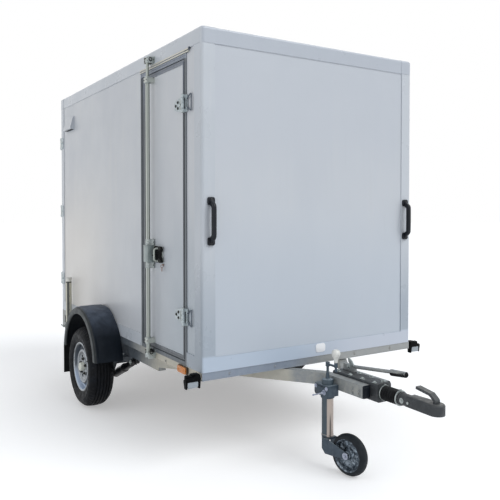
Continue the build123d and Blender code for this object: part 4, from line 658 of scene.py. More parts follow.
class Piece:
    """Gathers shaped solids in one mesh, which then becomes one object that rides on a body."""

    def __init__(self, name):
        self.name = name
        self.mesh = bmesh.new()

    def take(self, part):
        """Adds a mesh, and frees it."""
        held = bpy.data.meshes.new("held")
        part.to_mesh(held)
        part.free()
        self.mesh.from_mesh(held)
        bpy.data.meshes.remove(held)
        return self

    def block(self, low, high, bevel, segments=2):
        """A box between two corners, with rounded edges."""
        part = bmesh.new()
        bmesh.ops.create_cube(part, size=1)
        low, high = Vector(low), Vector(high)
        low, high = (Vector(map(min, low, high)), Vector(map(max, low, high)))
        size = high - low
        for vertex in part.verts:
            vertex.co = (low + high) / 2 + Vector(a * b for a, b in zip(vertex.co, size))
        bevel = min(bevel, min(size) * 0.45)
        bmesh.ops.bevel(part, geom=part.edges[:],
                        offset=bevel, segments=segments, affect="EDGES", profile=0.5)
        return self.take(part)

    def lathe(self, profile, origin, axis, sides, closed=False, shape=None):
        """Turns (radius, distance along the axis) round the axis. shape may press each point out of round."""
        part = bmesh.new()
        origin, axis = Vector(origin), Vector(axis).normalized()
        u, v = across(axis)
        rings = []
        for radius, height in profile:
            if radius < 1e-6:
                rings.append([part.verts.new(origin + axis * height)] * sides)
                continue
            row = []
            for angle in turns(sides):
                r, h = (radius, height) if shape is None else shape(angle, radius, height)
                row.append(part.verts.new(origin + axis * h + spoke(u, v, angle) * r))
            rings.append(row)
        skin(part, rings, closed)
        return self.take(part)

    def rod(self, start, end, radius, sides):
        """A plain round bar."""
        length = (end - start).length
        return self.lathe([(0, 0), (radius, 0), (radius, length), (0, length)], start, end - start, sides)

    def sweep(self, path, section, closed=False, up=None):
        """Sweeps a closed section, (u, v) pairs, along points without twisting it."""
        part = bmesh.new()
        points = [Vector(p) for p in path]
        count = len(points)
        heads = []
        for k in range(count):
            if closed or k < count - 1:
                ahead = points[(k + 1) % count] - points[k]
            else:
                ahead = points[k] - points[k - 1]
            behind = points[k] - points[k - 1] if closed or k > 0 else ahead
            heads.append((ahead.normalized() + behind.normalized()).normalized())
        side = (Vector(up).cross(heads[0]) if up is not None else across(heads[0])[0]).normalized()
        rings = []
        for k, (point, head) in enumerate(zip(points, heads)):
            if up is not None:
                side = Vector(up).cross(head).normalized()
            else:
                side = (side - head * side.dot(head)).normalized()
            lift = head.cross(side)
            ahead = points[(k + 1) % count] - points[k] if closed or k < count - 1 else head
            spread = 1 / max(0.5, ahead.normalized().dot(head))
            rings.append([part.verts.new(point + side * u * (spread if closed else 1) + lift * v) for u,
                          v in section])
        skin(part, rings, closed)
        if not closed:
            cap_ends(part, rings)
        return self.take(part)

    def tube(self, path, radius, sides, closed=False):
        return self.sweep(path, oval(radius, radius, sides), closed)

    def prism(self, outline, low, high, axis, bevel, segments=2):
        """A flat outline, in the two other axes in order, drawn out along an axis from low to high."""
        part = bmesh.new()
        order = {"X": lambda a, b, t: (t, a, b), "Y": lambda a, b, t: (a, t, b),
                 "Z": lambda a, b, t: (a, b, t)}[axis]
        rings = [[part.verts.new(order(a, b, t)) for a, b in outline] for t in (low, high)]
        cap_ends(part, rings)
        skin(part, rings)
        rim = [e for e in part.edges if len({v.co["XYZ".index(axis)] for v in e.verts}) == 1]
        bmesh.ops.bevel(part, geom=rim, offset=bevel, segments=segments, affect="EDGES", profile=0.5)
        return self.take(part)

    def slab(self, low, high, radius, start, end, axis, bevel, segments=2):
        """A flat plate with round corners, given by two of them, from start to end along an axis."""
        return self.prism(rounded(low, high, radius), start, end, axis, bevel, segments)

    def bolt(self, at, axis, size, height=None, washer=True):
        """A hexagon head with a chamfered crown on a washer."""
        at, axis = Vector(at), Vector(axis).normalized()
        height = size * 0.55 if height is None else height
        base = 0.0
        if washer:
            self.lathe([(0, 0), (size * 1.05, 0), (size * 1.1, 0.0006), (size * 1.05, 0.0016), (0, 0.0016)],
                       at, axis, 24)
            base = 0.0014
        self.lathe([(0, base), (size * 0.58, base), (size * 0.58, base + height * 0.8),
                    (size * 0.46, base + height), (size * 0.2, base + height * 1.04),
                    (0, base + height * 1.04)], at, axis, 6)
        return self

    def stud(self, at, axis, radius, height):
        """A domed screw head with a socket in it."""
        self.lathe([(0, 0), (radius, 0), (radius, height * 0.35), (radius * 0.86, height * 0.75),
                    (radius * 0.55, height), (radius * 0.42, height), (radius * 0.36, height * 0.4),
                    (0, height * 0.4)], at, axis, 24)
        return self

    def ring(self, centre, axis, radius, wire, sides=10, steps=32):
        """A closed ring of wire."""
        u, v = across(axis)
        centre = Vector(centre)
        return self.tube([centre + spoke(u, v, a) * radius for a in turns(steps)], wire, sides, closed=True)

    def mirror(self):
        """Adds the same again on the trailer's other side."""
        copy = self.mesh.copy()
        copy.transform(Matrix.Scale(-1, 4, Y))
        bmesh.ops.reverse_faces(copy, faces=copy.faces[:])
        return self.take(copy)

    def flip(self, wanted=True):
        """Moves it to the trailer's other side, where that is wanted."""
        if wanted:
            self.mesh.transform(Matrix.Scale(-1, 4, Y))
            bmesh.ops.reverse_faces(self.mesh, faces=self.mesh.faces[:])
        return self

    def finish(self, body, slot, material, angle=38, replaces=()):
        """Makes the object on its body, and hides the nodes it takes the place of. The slot is not used."""
        bmesh.ops.remove_doubles(self.mesh, verts=self.mesh.verts[:], dist=1e-6)
        bmesh.ops.recalc_face_normals(self.mesh, faces=self.mesh.faces[:])
        data = bpy.data.meshes.new(self.name)
        self.mesh.to_mesh(data)
        self.mesh.free()
        data.materials.append(material)
        data.shade_smooth()
        data.set_sharp_from_angle(angle=math.radians(angle))
        thing = bpy.data.objects.new(self.name, data)
        bpy.context.scene.collection.objects.link(thing)
        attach(thing, body)
        if replaces:
            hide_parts(*replaces)


def oval(half_wide, half_high, sides=16, power=1.0):
    """A round or squarish section; power below 1 makes it squarer."""
    def shaped(value):
        return math.copysign(abs(value) ** power, value)

    return [(half_wide * shaped(math.cos(a)), half_high * shaped(math.sin(a))) for a in turns(sides, 0.5)]


def rounded(low, high, radius, steps=5):
    """A rectangle's outline with round corners, from one corner (a, b) to the other."""
    (a0, b0), (a1, b1) = low, high
    outline = []
    for ca, cb, turn in ((a1 - radius, b1 - radius, 0), (a0 + radius, b1 - radius, 90),
                         (a0 + radius, b0 + radius, 180), (a1 - radius, b0 + radius, 270)):
        for k in range(steps + 1):
            angle = math.radians(turn + 90 * k / steps)
            outline.append((ca + radius * math.cos(angle), cb + radius * math.sin(angle)))
    return outline


def low(name):
    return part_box(name)[0]


def high(name):
    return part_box(name)[1]


# places that many pieces share
SIDE = high("corner_posts").y                      # outer face of the body's sides
FRONT, REAR = high("corner_posts").x, low("corner_posts").x
BOTTOM, TOP = low("corner_posts").z, high("roof_rails").z
POST_TOP = high("corner_posts").z


# ------------------------------------------------------------------------------ wheels
def carve(part, cutter):
    """One mesh less another, as a new mesh."""
    things = []
    for name, mesh in (("stock", part), ("cutter", cutter)):
        bmesh.ops.recalc_face_normals(mesh, faces=mesh.faces[:])
        data = bpy.data.meshes.new(name)
        mesh.to_mesh(data)
        mesh.free()
        thing = bpy.data.objects.new(name, data)
        bpy.context.scene.collection.objects.link(thing)
        things.append(thing)
    stock, tool = things
    cut = stock.modifiers.new("cut", "BOOLEAN")
    cut.operation, cut.object, cut.solver = "DIFFERENCE", tool, "EXACT"
    bpy.context.view_layer.update()
    result = bmesh.new()
    made = bpy.data.meshes.new_from_object(stock.evaluated_get(bpy.context.evaluated_depsgraph_get()))
    result.from_mesh(made)
    bpy.data.meshes.remove(made)
    for thing in things:
        data = thing.data
        bpy.data.objects.remove(thing)
        bpy.data.meshes.remove(data)
    return result


TREAD = 0.0595     # half the tread's width
GROOVES = (-0.046, -0.023, 0.0, 0.023, 0.046)


def tyre_profile(radius, half):
    """The carcass from bead to bead, as (radius, across): sidewalls with rings, shoulders, grooved tread."""
    wall = [(0.17, 0.066), (0.176, 0.071), (0.184, 0.0765), (0.19, 0.0805), (0.196, 0.083), (0.1985, 0.0855),
            (0.2015, 0.0862), (0.204, 0.0845), (0.214, 0.088), (0.228, half - 0.0012),
            (0.2385, half - 0.0004), (0.2405, half), (0.2445, half), (0.2465, half - 0.001),
            (0.2525, half - 0.003), (0.259, half - 0.0066), (0.2606, half - 0.0058), (0.2628, half - 0.0072),
            (0.2642, half - 0.01), (0.27, 0.0782), (0.2752, 0.0732), (0.2796, 0.0682), (0.2832, 0.0634),
            (0.2858, TREAD)]
    tread = []
    for groove in sorted(GROOVES, reverse=True):
        for off, depth in ((0.0042, 0), (0.0024, 0.0065), (-0.0024, 0.0065), (-0.0042, 0)):
            across_tread = groove + off
            tread.append((radius - 0.0066 * (across_tread / TREAD) ** 2 - depth, across_tread))
    return wall + tread + [(r, -a) for r, a in reversed(wall)]


def tyre_tread(side, centre, out, radius, half):
    """The carcass, with notches across its shoulders."""
    carcass = Piece("tyre_tread_" + side)
    profile = tyre_profile(radius, half)
    inner = [(0.1665, -0.064), (0.1665, 0.064)]
    part = bmesh.new()
    rings = []
    for r, along in profile + inner:
        shoulder = 0.054 < abs(along) < 0.0775 and r > 0.27
        row = []
        for k, angle in enumerate(turns(240)):
            notch = 0.0042 if shoulder and k % 4 == (0 if along > 0 else 2) else 0.0
            row.append(part.verts.new(centre + out * along + spoke(X, Z, angle) * (r - notch)))
        rings.append(row)
    skin(part, rings, closed=True)
    carcass.take(part)
    carcass.finish("wheel_" + side, "tyre", TYRE, 32, ["tyre_" + side])


def wheel_rim(side, centre, face, out):
    """The rim, and its disc with slots and round holes cut through it."""
    rim = Piece("wheel_rim_" + side)
    rim.lathe([(0.1665, 0.066), (0.17, 0.0735), (0.1765, 0.074), (0.1815, 0.0715), (0.1825, 0.0745),
               (0.1795, 0.0768), (0.174, 0.0772), (0.167, 0.075), (0.163, 0.069), (0.1618, 0.05),
               (0.159, 0.046), (0.1572, 0.038), (0.1568, 0.006), (0.1545, 0), (0.144, -0.01), (0.144, -0.033),
               (0.1575, -0.042), (0.16, -0.062), (0.164, -0.07), (0.17, -0.0748), (0.179, -0.0768),
               (0.1825, -0.0745), (0.17, -0.0715), (0.1665, -0.064), (0.164, -0.044), (0.148, -0.033),
               (0.148, -0.01), (0.162, 0.006), (0.165, 0.044)], centre, out, 96, closed=True)
    disc = Piece("disc")
    disc.lathe([(0.0325, 0), (0.034, 0.0025), (0.042, 0.0032), (0.086, 0.003), (0.096, 0.0045),
                (0.106, 0.0102), (0.113, 0.013), (0.12, 0.0124), (0.1262, 0.0075), (0.1345, -0.0045),
                (0.1425, -0.0125), (0.15, -0.015), (0.1572, -0.007), (0.1572, -0.013), (0.15, -0.0202),
                (0.14, -0.0182), (0.1305, -0.011), (0.1225, 0.001), (0.118, 0.0068), (0.112, 0.007),
                (0.106, 0.004), (0.098, -0.0008), (0.086, -0.0025), (0.0325, -0.0028)],
               face, out, 120, closed=True)
    cutter = Piece("cutter")
    u, v = across(out)
    for angle in turns(5, 0.5):
        outward, sideways = spoke(u, v, angle), v * math.cos(angle) - u * math.sin(angle)
        at = face + outward * 0.076
        slot, loops = bmesh.new(), []
        for h in (-0.015, 0.025):
            outline = [at + out * h + outward * 0.0115 * math.cos(t) + sideways * 0.015 * math.sin(t)
                       for t in turns(20)]
            loops.append([slot.verts.new(point) for point in outline])
        cap_ends(slot, loops)
        skin(slot, loops)
        cutter.take(slot)
    for angle in turns(14, 0.5):
        at = face + spoke(u, v, angle) * 0.14
        cutter.rod(at - out * 0.03, at + out * 0.015, 0.0085, 18)
    rim.take(carve(disc.mesh, cutter.mesh))
    rim.finish("wheel_" + side, "wheel_silver", SILVER, 40, ["rim_" + side])


def wheel_dress(side, face, out):
    """Wheel bolts, valve and hub cap."""
    u, v = across(out)
    bolts = Piece("wheel_bolts_" + side)
    for angle in turns(5):
        at = face + spoke(u, v, angle + 0.3) * 0.056 + out * 0.0025
        bolts.lathe([(0, 0), (0.0128, 0), (0.0112, 0.0035), (0.0098, 0.0035), (0.0098, 0.0125),
                     (0.008, 0.015), (0.0052, 0.015), (0.0045, 0.012), (0, 0.012)], at, out, 6)
        bolts.lathe([(0, -0.001), (0.0135, -0.001), (0.0138, 0.001), (0.0115, 0.0038), (0, 0.0038)],
                    at, out, 24)
    valve = face + (u * 0.9 + v * 0.43).normalized() * 0.1515 - out * 0.01
    bolts.lathe([(0, 0), (0.0062, 0), (0.0068, 0.003), (0.0042, 0.01), (0.0036, 0.022), (0.0042, 0.023),
                 (0.0044, 0.031), (0.003, 0.033), (0, 0.033)], valve, out, 16)
    bolts.finish("wheel_" + side, "cast_steel", DARK, 40)

    cap = Piece("hub_cap_" + side)
    cap.lathe([(0.0312, 0.002), (0.033, 0.004), (0.033, 0.007), (0.0316, 0.01), (0.0312, 0.024),
               (0.0295, 0.03), (0.025, 0.0336), (0.011, 0.0346), (0.0095, 0.033), (0, 0.0326)], face, out, 48)
    cap.finish("wheel_" + side, "wheel_silver", CAP, 40)


def wheel(side):
    """One road wheel: tyre, rim, bolts and hub cap."""
    tyre_low, tyre_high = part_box("tyre_" + side)
    centre = (tyre_low + tyre_high) / 2
    radius, half = (tyre_high.z - tyre_low.z) / 2, (tyre_high.y - tyre_low.y) / 2
    out = -Y if side == "right" else Y
    tip = high("hub_" + side).y if side == "left" else -low("hub_" + side).y
    face = centre + out * (tip - abs(centre.y) - HUB_STAND)
    tyre_tread(side, centre, out, radius, half)
    wheel_rim(side, centre, face, out)
    wheel_dress(side, face, out)


for side in ("right", "left"):
    wheel(side)


# ------------------------------------------------------------------------------ mudguards
def fender(side):
    """A mudguard's thin shell, and the lip round its outboard edge."""
    shell_low, shell_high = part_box("fender_" + side)
    sign = -1 if side == "right" else 1
    half, height = (shell_high.x - shell_low.x) / 2, shell_high.z - shell_low.z
    crown = (half ** 2 + height ** 2) / (2 * height)
    centre = Vector(((shell_low.x + shell_high.x) / 2, 0, shell_high.z - crown))
    end = shell_low.z - centre.z
    wall, brim = sorted((abs(shell_low.y), abs(shell_high.y)))
    skirt = crown - 0.055

    def sag(angle, across_body):
        """How far the thin moulding has sunk between its fixings, near its crown."""
        inward = max(0.0, min(1.0, (brim - 0.045 - across_body) / 0.06))
        near_top = max(0.0, 1.0 - abs(angle - 1.45) / 0.85) ** 0.7
        return inward * near_top * (0.0045 + 0.0035 * math.sin(9.0 * angle + 26 * (across_body - wall)))

    def arc(name, outer, inner, lift=0.0):
        """Sweeps a strip over the wheel, from its outer and inner lines as (radius, distance out)."""
        section = outer + inner[::-1]
        steps, part, rings = 84, bmesh.new(), []
        for k in range(steps + 1):
            t = k / steps
            ring = []
            for r, across_body in section:
                start = math.asin((end + lift) / r)
                angle = start + t * (math.pi - 2 * start)
                r -= sag(angle, across_body)
                ring.append(part.verts.new((centre.x + r * math.cos(angle),
                                            sign * across_body, centre.z + r * math.sin(angle))))
            rings.append(ring)
        skin(part, rings)
        cap_ends(part, rings)
        return Piece(name).take(part)

    corner = [(crown - 0.026 + 0.026 * math.cos(a), brim - 0.027 + 0.026 * math.sin(a))
              for a in (math.radians(d) for d in (8, 22, 36, 50, 64, 78))]
    outer = [(crown - 0.012, wall + 0.0005), (crown - 0.003, wall + 0.003), (crown - 0.0004, wall + 0.012),
             (crown, wall + 0.06), (crown - 0.0008, wall + 0.12), (crown - 0.0022, wall + 0.162),
             (crown - 0.0048, wall + 0.1675), (crown - 0.0058, wall + 0.176), (crown - 0.0066, brim - 0.04)]
    outer += [(r - 0.0036, y) for r, y in corner[1:]]
    outer += [(skirt + 0.024, brim - 0.0004), (skirt + 0.01, brim), (skirt + 0.004, brim + 0.0008),
              (skirt, brim - 0.001), (skirt - 0.0012, brim - 0.0045)]
    inner = [(r - 0.004, min(y, brim - 0.0045)) for r, y in outer[:-4]]
    inner[0] = (crown - 0.012, wall + 0.0042)
    inner = inner[:-1] + [(skirt + 0.012, brim - 0.0046), (skirt + 0.005, brim - 0.0048),
                          (skirt + 0.0022, brim - 0.0052), (skirt + 0.0008, brim - 0.0052)]
    shell = arc("mudguard_" + side, outer, inner[:len(outer)])
    shell.finish("trailer", "black_plastic", FENDER, 30, ["fender_" + side])

    lip = arc("mudguard_lip_" + side, [(skirt + 0.039, brim - 0.0008), (skirt + 0.037, brim + 0.0014),
                                       (skirt + 0.026, brim + 0.0028), (skirt + 0.008, brim + 0.0028),
                                       (skirt + 0.0015, brim + 0.0016), (skirt - 0.003, brim - 0.0016),
                                       (skirt - 0.0036, brim - 0.007), (skirt - 0.001, brim - 0.0105)],
              [(skirt + 0.0385, brim - 0.0024), (skirt + 0.033, brim - 0.002), (skirt + 0.023, brim - 0.0016),
               (skirt + 0.009, brim - 0.0016), (skirt + 0.004, brim - 0.0026), (skirt + 0.0012, brim - 0.004),
               (skirt + 0.0006, brim - 0.007), (skirt + 0.0014, brim - 0.0092)], 0.0012)
    lip.finish("trailer", "black_plastic", LIP, 30)


for side in ("right", "left"):
    fender(side)

flap_bolts = Piece("mudflap_bolts")
flap_low, flap_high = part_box("mudflaps")
flap_bolts.block((flap_low.x - 0.0025, flap_low.y + 0.012, flap_high.z - 0.024),
                 (flap_low.x + 0.0005, flap_low.y + 0.178, flap_high.z - 0.004), 0.0008)
for at in (0.026, 0.095, 0.164):
    flap_bolts.bolt((flap_low.x - 0.002, flap_low.y + at, flap_high.z - 0.014), -X, 0.006)
    flap_bolts.stud((flap_high.x - 0.0005, flap_low.y + at, flap_high.z - 0.014), X, 0.006, 0.003)
flap_bolts.mirror().finish("trailer", "zinc", DARK)


# ------------------------------------------------------------------------------ lamps
def position_lamp():
    """Front position lamps: a moulded hood over a clear lens."""
    lamp_low, lamp_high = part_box("position_lamps")
    foot, top, far = lamp_low.z, lamp_high.z, -lamp_low.y
    front, back = lamp_high.x, lamp_low.x
    lens_top = foot + 0.04
    hood = Piece("position_lamp_hoods")
    outline = [(-0.0005, foot + 0.002), (-0.0035, lens_top + 0.004), (-0.006, lens_top + 0.012),
               (0.004, lens_top + 0.018), (0.03, lens_top + 0.0245), (0.045, lens_top + 0.024),
               (0.06, top - 0.002), (0.086, top - 0.001), (0.0875, lens_top + 0.01), (0.0855, foot + 0.001),
               (0.079, foot - 0.001), (0.0745, foot + 0.003), (0.0735, lens_top - 0.002),
               (0.07, lens_top + 0.0015), (0.006, lens_top + 0.0015), (0.0055, foot + 0.002)]
    hood.prism([(y - far, z) for y, z in outline], back + 0.014, front + 0.0016, "X", 0.002, 2)
    hood.block((back + 0.001, -far + 0.004, lens_top), (front - 0.01, -far + 0.084, top - 0.004), 0.006, 3)
    hood.block((back - 0.004, -far + 0.04, top - 0.006), (front - 0.006, -far + 0.084, top + 0.0012), 0.002)
    hood.bolt((back - 0.0035, -far + 0.07, top - 0.0085), -X, 0.007)
    hood.mirror().finish("trailer", "black_plastic", BLACK, 40, ["position_lamps"])
    lens = Piece("position_lamp_lenses")
    shape = [(0.0048, lens_top + 0.002), (0.0742, lens_top + 0.002), (0.0728, foot + 0.012),
             (0.067, foot + 0.006), (0.015, foot + 0.004), (0.008, foot + 0.01)]
    lens.prism([(y - far, z) for y, z in shape], back + 0.016, front - 0.0002, "X", 0.003, 3)
    lens.mirror().finish("trailer", "lamp_white", LENS_WHITE, 50)


def side_marker():
    """Amber side markers."""
    base_low, base_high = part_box("side_markers")
    base = Piece("side_marker_bases")
    face = base_low.y
    x0, x1, z0, z1 = base_low.x + 0.004, base_high.x + 0.022, base_low.z + 0.004, base_high.z + 0.006
    base.slab((x0, z0), (x1, z1), 0.006, face + 0.006, face + 0.016, "Y", 0.0012)
    base.mirror().finish("trailer", "black_plastic", AMBER_BASE, 40, ["side_markers"])
    lens = Piece("side_marker_lenses")
    lens.slab((x0 + 0.004, z0 + 0.002), (x1 - 0.01, z1 - 0.004),
              0.007, face - 0.002, face + 0.008, "Y", 0.0036, 4)
    lens.slab((x0 + 0.026, z0 + 0.011), (x1 - 0.03, z1 - 0.012),
              0.006, face - 0.0036, face + 0.001, "Y", 0.0014, 3)
    lens.mirror().finish("trailer", "lamp_amber", LENS_AMBER, 50)


def rear_lamp():
    """Rear lamps, each with three lenses."""
    lamp_low, lamp_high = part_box("rear_lamps")
    back, mount, bottom, top = lamp_low.x, lamp_high.x, lamp_low.z, lamp_high.z
    outer, inner = lamp_low.y, REAR_LAMP_END
    case = Piece("rear_lamp_cases")
    case.slab((outer, bottom), (inner, top), 0.012, back + 0.016, mount - 0.0005, "X", 0.003)
    for at in (outer + 0.008, inner - 0.008):
        for z in (bottom + 0.01, top - 0.01):
            case.stud((back + 0.0162, at, z), -X, 0.0036, 0.002)
    case.mirror().finish("trailer", "black_plastic", PLASTIC, 40, ["rear_lamps"])
    for name, start, stop, material, slot_name in (
            ("rear_lamp_turn", outer + 0.014, outer + 0.082, LENS_AMBER, "lamp_amber"),
            ("rear_lamp_stop", outer + 0.0835, outer + 0.168, LENS_RED, "lamp_red"),
            ("rear_lamp_white", outer + 0.1695, inner - 0.014, LENS_WHITE, "lamp_white")):
        lens = Piece(name)
        lens.slab((start, bottom + 0.006), (stop, top - 0.006),
                  0.007, back + 0.0006, back + 0.018, "X", 0.005, 4)
        lens.slab((start + 0.012, bottom + 0.018), (stop - 0.012, top - 0.034),
                  0.005, back - 0.0016, back + 0.003, "X", 0.0018, 3)
        lens.mirror().finish("trailer", slot_name, material, 50)


position_lamp()
side_marker()
rear_lamp()

plate_low, plate_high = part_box("number_plate")
plate = Piece("number_plate_frame")
rim_path = [(plate_low.x - 0.001, y, z) for y,
            z in rounded((plate_low.y + 0.004, plate_low.z + 0.004),
                         (plate_high.y - 0.004, plate_high.z - 0.004), 0.01)]
plate.tube(rim_path, 0.003, 8, closed=True)
for at in (-0.19, 0.19):
    plate.stud((plate_low.x, at, (plate_low.z + plate_high.z) / 2), -X, 0.0065, 0.0032)
plate.finish("trailer", "black_plastic", PLASTIC)
lights = Piece("plate_lights")
for at in (-0.285, 0.285):
    lights.slab((at - 0.018, plate_high.z - 0.052), (at + 0.018, plate_high.z - 0.012),
                0.008, plate_low.x - 0.026, plate_low.x + 0.004, "X", 0.005, 3)
    lights.stud((plate_low.x - 0.0255, at, plate_high.z - 0.022), -X, 0.0034, 0.002)
lights.finish("trailer", "black_plastic", PLASTIC)


# ------------------------------------------------------------------------------ grab handles
def smooth_path(points, rounds=3):
    """Rounds a path's corners by cutting them, and keeps its ends."""
    path = [Vector(p) for p in points]
    for _ in range(rounds):
        cut = [path[0]]
        for a, b in zip(path, path[1:]):
            cut += [a.lerp(b, 0.25), a.lerp(b, 0.75)]
        path = cut + [path[-1]]
    return path


grab_low, grab_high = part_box("grab_handles")
grab = Piece("grab_handles_moulded")
grab_y = low("grab_handles").y + 0.021
face = grab_low.x
for z0, turn in ((grab_low.z, 1), (grab_high.z, -1)):
    pad = rounded((grab_y - 0.021, min(z0, z0 + turn * 0.044)), (grab_y + 0.021, max(z0, z0 + turn * 0.044)),
                  0.008)
    grab.prism(pad, face, face + 0.0125, "X", 0.0035, 3)
grip = smooth_path([(face + 0.006, grab_y, grab_low.z + 0.02), (face + 0.014, grab_y, grab_low.z + 0.034),
                    (face + 0.036, grab_y, grab_low.z + 0.046), (face + 0.0385, grab_y, grab_low.z + 0.062),
                    (face + 0.0385, grab_y, grab_high.z - 0.062), (face + 0.036, grab_y, grab_high.z - 0.046),
                    (face + 0.014, grab_y, grab_high.z - 0.034), (face + 0.006, grab_y, grab_high.z - 0.02)])
grab.sweep(grip, oval(0.015, 0.0118, 24, 0.62), up=Y)
grab.mirror().finish("trailer", "black_plastic", GRAB, 35, ["grab_handles"])
screws = Piece("grab_handle_screws")
for z in (grab_low.z + 0.013, grab_high.z - 0.013):
    screws.lathe([(0, 0), (0.0074, 0), (0.007, 0.0016), (0.005, 0.0024), (0.003, 0.001), (0, 0.0008)],
                 (face + 0.0125, grab_y, z), X, 24)
screws.mirror().finish("trailer", "black_plastic", DARK)


# ------------------------------------------------------------------------------ doors
class Face:
    """A wall that a door leaf lies in: points by distance along it, distance out of it, and height."""

    def __init__(self, name, leaf, side_wall):
        self.name, self.leaf, self.side_wall = name, leaf, side_wall
        self.out = -Y if side_wall else -X
        self.along = X if side_wall else -Y

    def at(self, x, out, z):
        return Vector((x, -SIDE - out, z)) if self.side_wall else Vector((REAR - out, -x, z))

    def block(self, piece, x, out, z, bevel):
        piece.block(self.at(x[0], out[0], z[0]), self.at(x[1], out[1], z[1]), bevel)

    def saddle(self, piece, x, z):
        """A bracket bent over the rod, with a flange at each side."""
        half, hump, axis_out = 0.023, 0.0185, 0.033
        outline = [(-half, -0.001), (-half, 0.0045), (-hump - 0.002, 0.0052), (-hump, 0.009),
                   (-hump, axis_out)]
        outline += [(-hump * math.cos(a), axis_out + hump * 0.86 * math.sin(a))
                    for a in (math.radians(d) for d in range(15, 180, 15))]
        outline += [(hump, axis_out), (hump, 0.009), (hump + 0.002, 0.0052), (half, 0.0045), (half, -0.001)]
        flat = [tuple(self.at(x + a, b, 0))[:2] for a, b in outline]
        piece.prism(flat, z[0], z[1], "Z", 0.0015)

    def plate(self, piece, x, z, out, radius, bevel):
        """A flat plate with round corners, from out[0] to out[1]."""
        if self.side_wall:
            piece.slab((x[0], z[0]), (x[1], z[1]), radius, -SIDE - out[1], -SIDE - out[0], "Y", bevel)
        else:
            piece.slab((-x[1], z[0]), (-x[0], z[1]), radius, REAR - out[1], REAR - out[0], "X", bevel)


SIDE_DOOR = Face("side", "side_door_trim", True)
REAR_DOOR = Face("rear", "rear_trim_right", False)


def span(face, name):
    """How far a node reaches along a face, and its heights."""
    lo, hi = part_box(name)
    return ((lo.x, hi.x) if face.side_wall else (-hi.y, -lo.y)), (lo.z, hi.z)


# rubber lips in the gaps round the leaves
seals = Piece("side_door_seal")
(x0, x1), (z0, z1) = span(SIDE_DOOR, SIDE_DOOR.leaf)
seals.tube([SIDE_DOOR.at(x, -0.0062, z) for x,
            z in rounded((x0 - 0.004, z0 - 0.004), (x1 + 0.004, z1 + 0.004), 0.004, 3)],
           0.0034, 10, closed=True)
seals.finish("trailer", "rubber", SEAL)
seals = Piece("rear_door_seals")
(x0, x1), (z0, z1) = span(REAR_DOOR, "rear_trim_right")
seals.tube([REAR_DOOR.at(x, -0.0062, z) for x,
            z in ((x0, z0 - 0.004), (x1 + 0.004, z0 - 0.004), (x1 + 0.004, z1 + 0.004), (x0, z1 + 0.004))],
           0.0034, 10)
seals.mirror().finish("trailer", "rubber", RUBBER)
middle = Piece("rear_door_middle_seal")
middle.block(REAR_DOOR.at(x0 - 0.0068, -0.01, z0 + 0.002), REAR_DOOR.at(x0 + 0.0006, -0.003, z1 - 0.002),
             0.003, 3)
middle.finish("rear_leaf_right", "rubber", RUBBER)


def ribs(face, node, piece, inset):
    """Two raised lines round an extruded door profile."""
    (x0, x1), (z0, z1) = span(face, node)
    for step in inset:
        path = [face.at(x, 0.00024, z) for x,
                z in rounded((x0 + step, z0 + step), (x1 - step, z1 - step), 0.003, 2)]
        piece.sweep(path, [(-0.0011, -0.0012), (0.0011, -0.0012), (0.0009, 0.001), (-0.0009, 0.001)],
                    closed=True)


def profile_lines(face, body, flip=False):
    lines = Piece(face.name + ("_left" if flip else "") + "_leaf_profile_lines")
    ribs(face, face.leaf, lines, (0.0045, 0.0105))
    lines.flip(flip).finish(body, "door_grey", LEAF_TRIM if face.side_wall else ANODISED)


profile_lines(SIDE_DOOR, "side_leaf")
profile_lines(REAR_DOOR, "rear_leaf_right")
profile_lines(REAR_DOOR, "rear_leaf_left", True)

(x0, x1), (z0, z1) = span(SIDE_DOOR, "side_door_frame")
head = Piece("side_door_head_steps")
for up, out, deep in ((0.01, 0.003, 0.0034), (0.021, 0.0018, 0.0024), (0.031, 0.0036, 0.003),
                      (0.041, 0.0018, 0.0022)):
    SIDE_DOOR.block(head, (x0 + 0.028, x1 - 0.019), (-0.001, out), (z1 - up - deep, z1 - up), 0.0006)
for out_from in (0.006, 0.013, 0.02):
    SIDE_DOOR.block(head, (x0 + out_from, x0 + out_from + 0.0016), (-0.001, 0.0012), (z0 + 0.03, z1 - 0.004),
                    0.0005)
head.finish("trailer", "door_grey", JAMB)

rail_z = POST_TOP - 0.005
for name, up in (("side_door_drip_rail", 0.0), ("side_door_drip_gutter", -0.0135)):
    drip = Piece(name)
    z = rail_z + up
    drip.prism([(-SIDE + 0.001, z + 0.0056), (-SIDE - 0.0036, z + 0.0046), (-SIDE - 0.006, z + 0.001),
                (-SIDE - 0.0056, z - 0.0026), (-SIDE - 0.004, z - 0.0034), (-SIDE + 0.001, z - 0.0034)],
               x0 - 0.004, x1 + 0.036, "X", 0.0006)
    drip.finish("trailer", "edge_white", BEIGE)
# painted shadow: thin grey strips under the drip rails
under_rail = Piece("side_door_drip_shadow")
for under, over in ((0.007, 0.002), (0.0185, 0.014)):
    under_rail.block((x0 - 0.003, -SIDE - 0.002, rail_z - under), (x1 + 0.027, -SIDE + 0.001, rail_z - over),
                 0.0005)
under_rail.finish("trailer", "rubber", LOOP)
stop = Piece("drip_rail_end")
stop.block((x1 + 0.038, -SIDE + 0.001, rail_z - 0.01), (x1 + 0.05, -SIDE - 0.007, rail_z + 0.008), 0.003, 3)
stop.finish("trailer", "rubber", LOOP)

rear_drip = Piece("rear_door_drip_rail")
rear_drip.sweep([(REAR, -SIDE + 0.05, POST_TOP - 0.006), (REAR, SIDE - 0.05, POST_TOP - 0.006)],
                [(0.0012, 0.006), (-0.0016, 0.006), (-0.003, 0.001), (-0.011, -0.0006), (-0.0116, 0.004),
                 (-0.0134, 0.004), (-0.013, -0.0026), (0.0012, -0.0026)], up=Z)
rear_drip.finish("trailer", "edge_white", EDGE)


